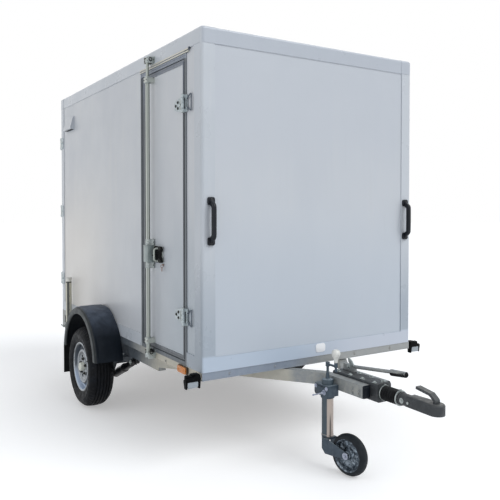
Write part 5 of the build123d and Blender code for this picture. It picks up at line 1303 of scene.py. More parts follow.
# ------------------------------------------------------------------------------ hinges
def hinge_levels(node):
    """Middle heights of the hinges in a node, from where its vertices bunch."""
    heights = sorted({round(v.co.z, 3) for v in nodes[node].data.vertices})
    groups = [[heights[0]]]
    for z in heights[1:]:
        if z - groups[-1][-1] > 0.2:
            groups.append([z])
        else:
            groups[-1].append(z)
    return [(g[0] + g[-1]) / 2 for g in groups]


def hinge_screws(face, node, body, pin, levels, flip=False):
    """Bolt heads on the hinge plates of a leaf, and caps on the pins."""
    tag = face.name + ("_left" if flip else "")
    (x0, x1), _ = span(face, node)
    far = min(x0, x1)
    dark, bright = Piece(tag + "_hinge_bolts"), Piece(tag + "_hinge_dress")
    for z in levels:
        for dx, dz in ((0.018, 0.0), (0.046, 0.017), (0.046, -0.017)):
            at = face.at(far + dx, 0.0048, z + dz)
            dark.lathe([(0, 0), (0.0092, 0), (0.0094, 0.001), (0.0074, 0.0014), (0.0074, 0.003),
                        (0.006, 0.0052), (0.0032, 0.006), (0, 0.0061)], at, face.out, 24)
        bright.bolt(face.at(far + 0.08, 0.0048, z), face.out, 0.0095)
        for end, way in ((z + 0.0498, 1), (z - 0.0498, -1)):
            at = face.at(pin, 0.016, end)
            bright.lathe([(0, -0.002), (0.0082, -0.002), (0.0086, 0.0006), (0.0076, 0.0032), (0.004, 0.0048),
                          (0, 0.005)], at, Z * way, 24)
        face.plate(bright, (far + 0.068, far + 0.093), (z - 0.03, z + 0.03), (0.0046, 0.006), 0.004, 0.0006)
    for piece, material in ((dark, DARK), (bright, ZINC)):
        piece.flip(flip).finish(body, "zinc", material)


side_levels = hinge_levels("side_door_hinges")
rear_levels = hinge_levels("rear_hinges_right")
side_pin = (high("side_door_frame").x + high("side_door_trim").x) / 2 + 0.004
rear_pin = SIDE - 0.008
hinge_screws(SIDE_DOOR, "side_door_hinges", "side_leaf", side_pin, side_levels)
hinge_screws(REAR_DOOR, "rear_hinges_right", "rear_leaf_right", rear_pin, rear_levels)
hinge_screws(REAR_DOOR, "rear_hinges_right", "rear_leaf_left", rear_pin, rear_levels, True)


def knuckles(piece, at, levels):
    """The fixed half of each hinge: two knuckles on the pin, clear of the leaf's barrel."""
    for z in levels:
        for lower in (z + KNUCKLE_NEAR, z - KNUCKLE_FAR):
            piece.lathe([(0, 0), (0.0082, 0), (0.009, 0.0009), (0.009, 0.0186), (0.0082, 0.0195),
                         (0, 0.0195)], Vector(at) + Z * lower, Z, 28)


bracket, loop_shade = Piece("hinge_brackets_bent"), Piece("hinge_loop_slot_shade")
knuckles(bracket, (side_pin, -SIDE - 0.016, 0), side_levels)
root, loop_end = side_pin + 0.009, max(v.co.x for v in nodes["hinge_brackets"].data.vertices)
face_out = -SIDE - 0.003
for z in side_levels:
    bracket.slab((root, z - 0.048), (root + 0.0215, z + 0.048),
                 0.004, -SIDE - 0.0052, -SIDE + 0.0005, "Y", 0.0009)
    for dz in (KNUCKLE_MIDDLE, -KNUCKLE_MIDDLE):
        bracket.block((side_pin - 0.002, -SIDE - 0.0225, z + dz - 0.0088),
                      (root + 0.004, -SIDE + 0.0002, z + dz + 0.0088), 0.002, 3)
        bracket.stud((root + 0.012, -SIDE - 0.0048, z + dz * 0.62), -Y, 0.005, 0.0032)
loop = Piece("hinge_loops")
for z in side_levels:
    run = smooth_path([(root + 0.012, face_out, z + 0.0215), (root + 0.03, face_out, z + 0.03),
                       (loop_end - 0.016, face_out, z + 0.046), (loop_end - 0.0062, face_out, z + 0.0462),
                       (loop_end - 0.0052, face_out, z + 0.033), (loop_end - 0.0052, face_out, z - 0.033),
                       (loop_end - 0.0062, face_out, z - 0.0462), (loop_end - 0.016, face_out, z - 0.046),
                       (root + 0.03, face_out, z - 0.03), (root + 0.012, face_out, z - 0.0215)], 2)
    loop.sweep(run, oval(0.004, 0.0028, 12), up=Y)
    # painted shade: a black slab standing for the shade in each loop's slot
    loop_shade.slab((root + 0.0165, z - 0.021), (root + 0.0205, z + 0.021),
                    0.0018, -SIDE - 0.0058, -SIDE - 0.0045, "Y", 0.0002)
loop.finish("trailer", "zinc", LOOP)
loop_shade.finish("trailer", "zinc", BLACK)
for way in (1, -1):
    knuckles(bracket, (REAR - 0.016, way * rear_pin, 0), rear_levels)
    for z in rear_levels:
        outline = rounded((REAR + 0.015, z - 0.05), (REAR + 0.075, z + 0.05), 0.01)
        bracket.prism(outline, *sorted((way * (SIDE - 0.0005), way * (SIDE + 0.0042))), "Y", 0.001)
        for dz in (KNUCKLE_MIDDLE, -KNUCKLE_MIDDLE):
            bracket.block((REAR - 0.016, way * (rear_pin + 0.004), z + dz - 0.0092),
                          (REAR + 0.024, way * (SIDE + 0.004), z + dz + 0.0092), 0.0016, 2)
        for dx in (0.03, 0.058):
            bracket.bolt((REAR + dx, way * (SIDE + 0.0036), z), Y * way, 0.008)
bracket.finish("trailer", "zinc", HINGE, 40, ["hinge_brackets"])


# ------------------------------------------------------------------------------ lock rods
def lock_fittings(face, node, body, rod_x, flip=False):
    """What a lock rod carries: saddles, guides' collars, the lock's cover, handle backing and cams."""
    tag = face.name + ("_left" if flip else "")
    levels = sorted({round(v.co.z, 4) for v in nodes[node].data.vertices})
    bottom, top = levels[0], levels[-1]
    _, (z0, z1) = span(face, face.leaf)
    low_lock, high_lock = BOTTOM + LOCK_FOOT, BOTTOM + LOCK_HEAD
    bright, dark = Piece(tag + "_lock_fittings"), Piece(tag + "_lock_black_parts")

    face.saddle(bright, rod_x, (high_lock + 0.002, high_lock + 0.04))
    face.saddle(bright, rod_x, (low_lock - 0.038, low_lock - 0.002))
    for z in (high_lock + 0.021, low_lock - 0.02):
        for x in (rod_x + 0.0205, rod_x - 0.0205):
            dark.stud(face.at(x, 0.0044, z), face.out, 0.0042, 0.003)

    # cover pressed round the lock, with its ribs, cylinder and screws
    case = Piece(tag + "_lock_case")
    face.block(case, (rod_x - 0.0346, rod_x + 0.0346), (0.006, 0.0512),
               (low_lock - 0.0006, high_lock + 0.0006), 0.004)
    face.block(case, (rod_x - 0.029, rod_x + 0.029), (0.05, 0.0522), (low_lock + 0.006, high_lock - 0.008),
               0.0012)
    face.block(case, (rod_x - 0.0352, rod_x + 0.0352), (0.006, 0.0518),
               (high_lock - 0.003, high_lock + 0.001), 0.0008)
    case.flip(flip).finish(body, "zinc", LOCK)
    dark.stud(face.at(rod_x + 0.0345, 0.016, low_lock + 0.044), face.along, 0.006, 0.0028)

    # backing and studs of the bow handle
    handle = rod_x + 0.115
    black = Piece(tag + "_handle_backing")
    for heights in ((low_lock + 0.002, low_lock + 0.036), (high_lock - 0.036, high_lock - 0.002)):
        face.plate(black, (rod_x + 0.038, handle + 0.045), heights, (0.0048, 0.0092), 0.009, 0.0012)
    face.plate(black, (rod_x + 0.038, handle + 0.034), (low_lock + 0.01, high_lock - 0.01), (0.0048, 0.0072),
               0.006, 0.001)
    black.flip(flip).finish(body, "black_plastic", BLACK)
    for z in (low_lock + 0.014, high_lock - 0.014):
        dark.lathe([(0, 0), (0.0135, 0), (0.0135, 0.003), (0.0105, 0.007), (0.0082, 0.008), (0.0078, 0.013),
                    (0, 0.013)], face.at(handle, 0.006, z), face.out, 28)
        dark.stud(face.at(handle + 0.019, 0.0083, z), face.out, 0.0046, 0.0026)

    # collars on the guides, and their bolts
    for z in (z0 + 0.041, z1 - 0.041):
        thick = 0.013 if z < (z0 + z1) / 2 else 0.0095
        for way in (1, -1):
            bright.lathe([(thick - 0.001, 0.0148), (0.019, 0.0148), (0.0196, 0.0165), (0.019, 0.0205),
                          (0.0165, 0.022), (thick - 0.001, 0.022)], face.at(rod_x, 0.033, z), Z * way, 28)
        for x in (rod_x + 0.0185, rod_x - 0.0185):
            dark.bolt(face.at(x, 0.0478, z), face.out, 0.0065, washer=False)

    # cams that turn into the keepers
    for z, way, rod in ((bottom, 1, 0.013), (top, -1, 0.009)):
        at = z + way * 0.018
        bright.lathe([(rod - 0.001, -0.012), (rod + 0.004, -0.012), (rod + 0.0048, -0.01),
                      (rod + 0.0048, 0.01), (rod + 0.004, 0.012), (rod - 0.001, 0.012)],
                     face.at(rod_x, 0.033, at), Z, 28)
        face.block(bright, (rod_x - 0.0045, rod_x + 0.0045), (0.01, 0.026), (at - 0.009, at + 0.009), 0.002)
    for piece, material in ((bright, ZINC), (dark, DARK)):
        piece.flip(flip).finish(body, "zinc", material)


def keeper_fittings(face, rod_x, piece, dark):
    """Bolts, a bridge and a dark slot on each keeper."""
    for z in (TOP - KEEPER_DROP, BOTTOM):
        for dx in (-0.0235, 0.0235):
            for dz in (0.009, -0.009):
                dark.stud(face.at(rod_x + dx, 0.0438, z + dz), face.out, 0.0034, 0.0018)
        face.plate(dark, (rod_x - 0.0125, rod_x + 0.0125), (z - 0.013, z + 0.013), (0.0056, 0.007),
                   0.004, 0.0005)
        face.block(dark, (rod_x - 0.019, rod_x - 0.0148), (0.005, 0.045), (z - 0.019, z + 0.015), 0.001)
        dark.lathe([(0, 0), (0.0135, 0), (0.0135, 0.0045), (0.011, 0.0062), (0.0068, 0.0062), (0.0062, 0.003),
                    (0, 0.003)], face.at(rod_x + 0.024, 0.024, z), face.along, 24)
        for x, inward, near, far in ((rod_x - 0.0405, 0.0055, 0.001, 0.014),
                                     (rod_x + 0.0405, -0.0055, 0.014, 0.001)):
            face.plate(piece, (x - near, x + far), (z - 0.018, z + 0.018), (-0.0005, 0.0035), 0.004, 0.0008)
            dark.stud(face.at(x + inward, 0.003, z), face.out, 0.0046, 0.003)


rod_side = low("side_door_lock").x + 0.034
lock_fittings(SIDE_DOOR, "side_door_lock", "side_leaf", rod_side)
lock_fittings(REAR_DOOR, "rear_lock_right", "rear_leaf_right", REAR_ROD)
lock_fittings(REAR_DOOR, "rear_lock_right", "rear_leaf_left", REAR_ROD, True)
keeps, keep_screws = Piece("keeper_flanges"), Piece("keeper_screws")
keeper_fittings(REAR_DOOR, REAR_ROD, keeps, keep_screws)
keeps.mirror()
keep_screws.mirror()
keeper_fittings(SIDE_DOOR, rod_side, keeps, keep_screws)
keeps.finish("trailer", "zinc", ZINC)
keep_screws.finish("trailer", "zinc", DARK)

loose = Piece("lock_key_ring")
ring_x, ring_z = rod_side + 0.159, BOTTOM + 0.535
loose.ring((ring_x, -SIDE - 0.0105, ring_z), (0.35, 1, 0), 0.0125, 0.0022, 10, 28)
loose.ring((ring_x - 0.004, -SIDE - 0.0085, ring_z + 0.0185), X, 0.0085, 0.0017, 8, 24)
loose.lathe([(0, -0.006), (0.005, -0.006), (0.0056, -0.004), (0.0056, 0.003), (0.004, 0.005), (0, 0.0055)],
            (ring_x - 0.004, -SIDE - 0.002, ring_z + 0.0265), -Y, 20)
loose.finish("side_leaf", "zinc", BRASS)

cover = Piece("front_base_cover")
cover.slab(COVER_LOW, COVER_HIGH, 0.016, FRONT - 0.001, FRONT + 0.003, "X", 0.0012)
cover.finish("trailer", "edge_white", COVER)


# ------------------------------------------------------------------------------ vents
vent_low, vent_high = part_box("vent_cowls")
vent = Piece("vent_flanges")
wall_face = low("wall_right").y
vent.slab((vent_low.x - 0.01, vent_low.z - 0.012), (vent_high.x + 0.01, vent_high.z + 0.01),
          0.008, wall_face - 0.003, wall_face + 0.001, "Y", 0.001)
for x in (vent_low.x - 0.003, vent_high.x + 0.003):
    for z in (vent_low.z + 0.004, vent_high.z - 0.002):
        vent.stud((x, wall_face - 0.0028, z), -Y, 0.0036, 0.002)
vent.slab((vent_low.x - 0.001, vent_low.z + 0.001), (vent_high.x + 0.001, vent_low.z + 0.007),
          0.002, vent_low.y - 0.001, vent_low.y + 0.004, "Y", 0.0012)
vent.mirror().finish("trailer", "panel_white", EDGE)
slats = Piece("vent_slats")
for k in range(4):
    out_at = wall_face - 0.0045 - 0.0062 * k
    slats.block((vent_low.x + 0.006, out_at - 0.0014, vent_low.z - 0.0025),
                (vent_high.x - 0.006, out_at + 0.001, vent_low.z + 0.006), 0.0006)
slats.mirror().finish("trailer", "black_plastic", PLASTIC)


# ------------------------------------------------------------------------------ jockey wheel
tube_low, tube_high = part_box("jockey_tube")
axis_x, axis_y = tube_low.x + 0.033, tube_low.y + 0.033
stand_axis = Vector((axis_x, axis_y, 0))
jockey_axle = Vector((math.sin(JOCKEY_YAW), -math.cos(JOCKEY_YAW), 0))


def jockey_wheel():
    """Moulded tyre, pressed rim, and the nuts of the axle."""
    tyre_low, tyre_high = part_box("jockey_tyre")
    axle, centre = jockey_axle, (tyre_low + tyre_high) / 2
    radius = (tyre_high.z - tyre_low.z) / 2

    tyre = Piece("jockey_tyre_moulded")
    half = [(0.0878, 0.0262), (0.089, 0.0288), (0.0925, 0.0298), (0.0985, 0.029), (0.104, 0.0262),
            (0.1085, 0.0212), (0.1118, 0.014), (0.1124, 0.012), (radius - 0.0016, 0.0112),
            (radius - 0.0008, 0.0062), (radius, 0.0)]
    tyre.lathe(half + [(r, -h) for r, h in reversed(half[:-1])] + [(0.0872, -0.018), (0.0872, 0.018)],
               centre, axle, 96, closed=True)
    tyre.finish("jockey_wheel", "tyre", SMALL_TYRE, 32, ["jockey_tyre"])

    rim = Piece("jockey_rim_pressed")
    face = [(0.0092, 0.028), (0.021, 0.028), (0.0236, 0.0262), (0.0242, 0.018), (0.0275, 0.0126),
            (0.034, 0.0104), (0.042, 0.011), (0.052, 0.0138), (0.062, 0.0134), (0.069, 0.0104),
            (0.0738, 0.0092), (0.0765, 0.012), (0.0785, 0.02), (0.0815, 0.0256), (0.0862, 0.028),
            (0.0888, 0.0288), (0.0896, 0.0276), (0.088, 0.0262), (0.0868, 0.024)]

    def pressed(angle, r, h):
        """Seven waves pressed in the disc."""
        return r, h + (math.copysign(0.003, h) * math.cos(7 * angle) if 0.036 < r < 0.068 else 0)

    rim.lathe(face + [(r, -h) for r, h in reversed(face)], centre, axle, 112, closed=True, shape=pressed)
    rim.finish("jockey_wheel", "galvanised", WHEEL_ZINC, 36, ["jockey_rim"])

    dress = Piece("jockey_axle_nuts")
    for way in (1, -1):
        at = centre + axle * way * 0.0395
        dress.lathe([(0, 0), (0.0185, 0), (0.0192, 0.0008), (0.0185, 0.0024), (0, 0.0024)],
                    at, axle * way, 32)
        dress.bolt(at + axle * way * 0.002, axle * way, 0.0155, 0.0085, washer=False)
        dress.lathe([(0, 0), (0.0056, 0), (0.0056, 0.003), (0.004, 0.0044), (0, 0.0044)],
                    at + axle * way * 0.01, axle * way, 20)
    dress.finish("jockey_swivel", "galvanised", HANDLE_STEEL)


def jockey_crank():
    """Screw, crank arm and its round knob, on top of the stand."""
    screw = Piece("jockey_screw_and_knob")
    knob_at = Vector((tube_high.x - 0.024, axis_y, tube_high.z - 0.024))
    arm_z = knob_at.z - 0.072
    base = arm_z - 0.088
    screw.lathe([(0.0322, -0.001), (0.0336, 0.0004), (0.0332, 0.003), (0.025, 0.0052), (0.014, 0.0072),
                 (0.0122, 0.01), (0.0112, 0.018), (0.01, 0.032), (0.0086, 0.042), (0, 0.042)],
                stand_axis + Z * base, Z, 40)
    thread = []
    z = base + 0.041
    while z < arm_z - 0.0165:
        thread += [(0.007, z), (0.0079, z + 0.001), (0.0079, z + 0.0017), (0.007, z + 0.0027)]
        z += 0.0036
    screw.lathe([(0, base + 0.04)] + thread + [(0, z)], stand_axis, Z, 24)
    for way in (1, -1):
        screw.lathe([(0, 0.0118), (0.0095, 0.0118), (0.0122, 0.01), (0.0126, 0.006), (0.0118, 0)],
                    stand_axis + Z * arm_z, Z * way, 32)
    arm = smooth_path([(axis_x + 0.008, axis_y, arm_z), (axis_x + 0.04, axis_y, arm_z + 0.0004),
                       (knob_at.x - 0.004, axis_y, arm_z), (knob_at.x, axis_y, arm_z - 0.006),
                       (knob_at.x, axis_y, arm_z - 0.031)], 3)
    screw.tube(arm, 0.0066, 16)
    screw.finish("jockey_stand", "galvanised", STAND_STEEL)
    grip = Piece("jockey_crank_grip")
    stem = Piece("jockey_crank_stem")
    knob_foot = Vector((knob_at.x, knob_at.y, arm_z))
    stem.lathe([(0, -0.008), (0.0086, -0.008), (0.0102, -0.005), (0.0104, 0.006), (0.0101, 0.0225),
                (0, 0.0225)], knob_foot, Z, 32)
    stem.finish("jockey_stand", "galvanised", STAND_STEEL)
    grip.lathe([(0, 0.0215), (0.01, 0.0215), (0.0108, 0.024), (0.0112, 0.036), (0.015, 0.048),
                (0.0204, 0.057), (0.024, 0.068), (0.0246, 0.074), (0.0236, 0.082), (0.019, 0.0905),
                (0.01, 0.0955), (0, 0.0968)], knob_foot, Z, 36)
    grip.finish("jockey_stand", "galvanised", GRIP)


def jockey_clamp():
    """Bolts, handle and edges of the clamp on the drawbar."""
    clamp_low, clamp_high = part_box("jockey_clamp")
    hold = Piece("jockey_clamp_bolt")
    seat = Vector((axis_x + 0.018, clamp_low.y, clamp_low.z + 0.022))
    hold.lathe([(0, 0), (0.015, 0), (0.0154, 0.001), (0.0148, 0.0026), (0, 0.0026)], seat, -Y, 28)
    hold.bolt(seat - Y * 0.0024, -Y, 0.017, 0.0105, washer=False)
    hold.lathe([(0, 0), (0.007, 0), (0.007, 0.006), (0.0054, 0.0076), (0, 0.0076)], seat - Y * 0.013, -Y, 20)
    lever = smooth_path([seat - Y * 0.016 + X * 0.01 + Z * 0.004, seat - Y * 0.017 - X * 0.012 - Z * 0.004,
                         seat - Y * 0.02 - X * 0.04 - Z * 0.016, seat - Y * 0.026 - X * 0.066 - Z * 0.026], 2)
    hold.tube(lever, 0.0042, 12)
    hold.lathe([(0, -0.004), (0.0046, -0.003), (0.006, 0), (0.0046, 0.003), (0, 0.004)], lever[-1],
               lever[-1] - lever[-2], 16)
    for x in (clamp_low.x + 0.014, clamp_high.x - 0.014):
        hold.bolt((x, clamp_low.y - 0.0002, clamp_high.z - 0.016), -Y, 0.011)
    hold.finish("trailer", "zinc", HANDLE_STEEL)
    collar = Piece("jockey_clamp_collar")
    collar.lathe([(0.0338, 0), (0.0386, 0), (0.04, -0.003), (0.04, -0.012), (0.0376, -0.015),
                  (0.0338, -0.015)], Vector((axis_x, axis_y, clamp_low.z)), Z, 40, closed=True)
    collar.slab((clamp_low.x + 0.003, clamp_low.z + 0.003), (clamp_high.x - 0.003, clamp_high.z - 0.012),
                0.008, clamp_low.y - 0.0014, clamp_low.y + 0.001, "Y", 0.0008)
    collar.finish("trailer", "galvanised", STAND_STEEL)
    groove = Piece("jockey_clamp_groove")
    groove.slab((clamp_low.x + 0.004, clamp_high.z - 0.0118), (clamp_high.x - 0.004, clamp_high.z - 0.0088),
                0.0012, clamp_low.y - 0.0008, clamp_low.y + 0.001, "Y", 0.0002)
    groove.finish("trailer", "black_plastic", BLACK)


def jockey_foot():
    """Turned edges of the tube's foot, and along the fork's arms."""
    foot = Piece("jockey_tube_foot")
    foot.lathe([(0.0332, 0), (0.0346, 0.001), (0.0348, 0.01), (0.0332, 0.0115)],
               Vector((axis_x, axis_y, tube_low.z + 0.0002)), Z, 40)
    foot.finish("jockey_stand", "galvanised", STAND)
    fork = Piece("jockey_fork_edges")
    ahead = Vector((math.cos(JOCKEY_YAW), math.sin(JOCKEY_YAW), 0))
    for way in (1, -1):
        arm_side = stand_axis + jockey_axle * way * 0.0398
        for run in (((0.172, -0.006), (0.172, 0.03), (0.137, 0.152)),
                    ((0.117, -0.006), (0.093, 0.016), (0.098, 0.154))):
            fork.sweep(smooth_path([arm_side + Z * up + ahead * reach for up, reach in run], 2),
                       oval(0.0012, 0.0026, 10), up=Z)
    fork.finish("jockey_swivel", "galvanised", STAND_STEEL)


jockey_wheel()
jockey_crank()
jockey_clamp()
jockey_foot()


# ------------------------------------------------------------------------------ prop legs
def prop_leg(side):
    """Cap, holes and foot of a rear prop leg."""
    leg_low, leg_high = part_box("prop_leg_" + side)
    middle = (leg_low + leg_high) / 2
    body = "leg_" + side
    cap = Piece("prop_leg_cap_" + side)
    cap.lathe([(0.0255, -0.0098), (0.0262, -0.0092), (0.0264, -0.005), (0.0262, -0.002), (0.024, 0.0008),
               (0.017, 0.0018), (0, 0.0022)], Vector((middle.x, middle.y, leg_high.z)), Z, 36)
    cap.finish(body, "galvanised", GRIP)
    band = Piece("prop_leg_band_" + side)
    for k in range(5):
        band.lathe([(0, 0), (0.0026, 0), (0.0026, 0.0002), (0, 0.0003)],
                   Vector((middle.x + 0.0238, middle.y, leg_high.z - 0.1 - 0.06 * k)), X, 16)
    band.finish(body, "rubber", DARK)
    foot = Piece("prop_leg_foot_" + side)
    foot.lathe([(0.0245, 0.0075), (0.029, 0.009), (0.0335, 0.007), (0.0346, 0.004), (0.034, 0.0005),
                (0.032, -0.0008), (0.028, 0.0004), (0.02, 0.0004), (0, 0.0004)],
               Vector((middle.x, middle.y, leg_low.z)), Z, 40)
    foot.finish(body, "galvanised", GALVANISED)


for side in ("right", "left"):
    prop_leg(side)

clamp_low, clamp_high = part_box("prop_leg_clamps")
grips = Piece("prop_leg_clamp_screws")
leg_x, leg_y = (clamp_low.x + clamp_high.x) / 2, (low("prop_leg_right").y + high("prop_leg_right").y) / 2
for z in (clamp_low.z + 0.016, clamp_high.z - 0.016):
    for way in (1, -1):
        grips.bolt((leg_x + 0.024 * way, leg_y + 0.03, z), X * way, 0.01)
seat = Vector((leg_x, clamp_low.y, (clamp_low.z + clamp_high.z) / 2))
grips.lathe([(0, -0.0005), (0.0095, -0.0005), (0.0095, 0.006), (0.0075, 0.0085), (0.0062, 0.009),
             (0.006, 0.024), (0, 0.025)], seat, -Y, 24)
grips.tube(smooth_path([seat - Y * 0.021 - X * 0.034 + Z * 0.003, seat - Y * 0.021,
                        seat - Y * 0.021 + X * 0.034 - Z * 0.003], 1), 0.0036, 12)
for way in (1, -1):
    grips.lathe([(0, -0.004), (0.0046, -0.003), (0.0062, 0), (0.0046, 0.003), (0, 0.004)],
                seat - Y * 0.021 + X * 0.034 * way - Z * 0.003 * way, X, 16)
grips.mirror().finish("trailer", "zinc", ZINC)


# ------------------------------------------------------------------------------ underframe
def underframe():
    """Bolts, folded edges and end caps of the frame."""
    bolts = Piece("underframe_bolts")
    sill_low, sill_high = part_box("sill_right")
    mid_z = (sill_low.z + sill_high.z) / 2
    for x in (0.78, 0.42, 0.16, -0.2, -1.2, -1.62):
        bolts.bolt((x, sill_low.y - 0.0002, mid_z - 0.004), -Y, 0.01)
    for x in (-0.35, -0.565, -0.5, -1.18):
        for z in (0.505, 0.44):
            bolts.bolt((x, low("drawbar_right").y - 0.0002, z), -Y, 0.011)
    arm_low = low("drawbar_right").z + 0.05
    for x in (1.13, 1.185, 1.33, 1.385):
        for z in (arm_low + 0.01, arm_low - 0.012):
            bolts.bolt((x, -0.1002, z), -Y, 0.012)
    bolts.mirror()
    for y in (-0.62, -0.31, 0.31, 0.62):
        bolts.bolt((high("crossmembers").x - 0.0002, y, mid_z), X, 0.01)
    bolts.finish("trailer", "zinc", GALVANISED)

    lips = Piece("underframe_folds")
    x0, x1 = sill_low.x + 0.004, sill_high.x - 0.004
    lips.block((x0, sill_low.y - 0.0022, sill_high.z - 0.005), (x1, sill_low.y + 0.001, sill_high.z - 0.0005),
               0.001)
    lips.block((x0, sill_low.y - 0.0022, sill_low.z - 0.0006), (x1, sill_low.y + 0.001, sill_low.z + 0.0045),
               0.0014)
    lips.mirror()
    front = high("crossmembers").x
    lips.block((front - 0.001, -0.795, sill_high.z - 0.005), (front + 0.0022, 0.795, sill_high.z - 0.0005),
               0.001)
    lips.block((front - 0.001, -0.795, sill_low.z - 0.0006), (front + 0.0022, 0.795, sill_low.z + 0.0045),
               0.0014)
    lips.finish("trailer", "galvanised", GALVANISED)

    caps = Piece("drawbar_end_caps")
    x, z0, z1 = 1.415, 0.445, 0.515
    caps.slab((-0.1005, z0 - 0.0005), (-0.0495, z1 + 0.0005), 0.006, x - 0.001, x + 0.0045, "X", 0.002)
    caps.slab((-0.0905, z0 + 0.01), (-0.0595, z1 - 0.01), 0.004, x + 0.003, x + 0.006, "X", 0.0012)
    rear = low("drawbar_right").x
    caps.slab((-0.7455, 0.4195), (-0.6945, 0.5205), 0.006, rear - 0.0045, rear + 0.001, "X", 0.002)
    caps.mirror().finish("trailer", "black_plastic", PLASTIC)


underframe()


# ------------------------------------------------------------------------------ coupling and handbrake
def coupling():
    """Fittings on the overrun coupling and the handbrake."""
    house_low, house_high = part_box("overrun_housing")
    head_low, head_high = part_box("coupling_head")
    gaiter_low, gaiter_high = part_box("coupling_gaiter")
    mid = (gaiter_low.z + gaiter_high.z) / 2
    steel = Piece("coupling_bolts")
    for x in (house_low.x + 0.035, house_low.x + 0.135, house_low.x + 0.235, house_low.x + 0.33):
        for y in (-0.034, 0.034):
            steel.bolt((x, y, house_high.z - 0.0004), Z, 0.013)
    for x in (head_low.x + 0.03, head_low.x + 0.078):
        for way in (-1, 1):
            steel.bolt((x, way * 0.0316, mid), Y * way, 0.013)
    steel.lathe([(0, 0), (0.0052, 0), (0.0052, 0.004), (0.0036, 0.005), (0.0036, 0.009), (0.0046, 0.01),
                 (0.003, 0.013), (0, 0.013)], (house_high.x - 0.145, 0, house_high.z - 0.001), Z, 16)
    for way in (-1, 1):
        steel.lathe([(0, 0), (0.012, 0), (0.0124, 0.002), (0.01, 0.005), (0, 0.006)],
                    (head_high.x - 0.042, way * 0.0325, mid + 0.004), Y * way, 24)
    steel.finish("trailer", "cast_steel", ZINC)

    cast = Piece("coupling_cast_ribs")
    for way in (-1, 1):
        for z in (house_low.z + 0.026, house_high.z - 0.026):
            cast.block((house_low.x + 0.012, way * 0.048, z - 0.005),
                       (house_high.x - 0.15, way * 0.052, z + 0.005), 0.0018)
        for x in (house_low.x + 0.09, house_low.x + 0.19, house_low.x + 0.285):
            cast.block((x - 0.004, way * 0.048, house_low.z + 0.024),
                       (x + 0.004, way * 0.0515, house_high.z - 0.024), 0.0016)
    cast.lathe([(0.033, 0), (0.0352, 0.001), (0.0358, 0.005), (0.0352, 0.009), (0.033, 0.01)],
               (head_low.x + 0.004, 0, mid), X, 40)
    cast.finish("trailer", "cast_steel", CAST)

    bands = Piece("gaiter_bands")
    for x in (gaiter_low.x + 0.005, gaiter_high.x - 0.006):
        bands.lathe([(0.0345, -0.0035), (0.0412, -0.0035), (0.0418, -0.0025), (0.0418, 0.0025),
                     (0.0412, 0.0035), (0.0345, 0.0035)], (x, 0, mid), X, 40, closed=True)
        bands.block((x - 0.005, -0.006, mid + 0.04), (x + 0.005, 0.006, mid + 0.046), 0.0015)
    bands.finish("trailer", "zinc", ZINC)

    lever_low, lever_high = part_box("handbrake_lever")
    lever = Piece("handbrake_dress")
    pivot = Vector((lever_low.x + 0.045, (lever_low.y + lever_high.y) / 2, 0.554))
    for way in (-1, 1):
        lever.bolt(pivot + Y * way * 0.0125, Y * way, 0.014)
    sector = []
    for k, degrees in enumerate(range(14, 92, 4)):
        a, tooth = math.radians(degrees), 0.0022 if k % 2 else 0
        sector.append((pivot.x + 0.052 * math.cos(a) + tooth * math.cos(a),
                       pivot.z + 0.052 * math.sin(a) + tooth * math.sin(a)))
    lever.prism(sector + [(pivot.x + 0.004, pivot.z + 0.03), (pivot.x + 0.03, pivot.z + 0.004)],
                pivot.y - 0.0175, pivot.y - 0.0135, "Y", 0.0006)
    lever.finish("trailer", "galvanised", ZINC)
    tip = Vector((lever_high.x, (lever_low.y + lever_high.y) / 2, lever_high.z - 0.0155))
    slope = Vector((0.33, 0, 0.038)).normalized()
    sleeve = Piece("handbrake_grip")
    profile = [(0, -0.112), (0.0128, -0.112), (0.0152, -0.108)]
    for k in range(12):
        h = -0.1 + 0.0078 * k
        profile += [(0.0158, h), (0.0158, h + 0.0046), (0.015, h + 0.0056), (0.015, h + 0.0066)]
    profile += [(0.0156, -0.004), (0.014, 0), (0.0086, 0.0022), (0.007, 0.0022), (0.0066, 0.008),
                (0.0048, 0.0098), (0, 0.0098)]
    sleeve.lathe(profile, tip, slope, 28)
    sleeve.finish("trailer", "black_plastic", RUBBER)


coupling()


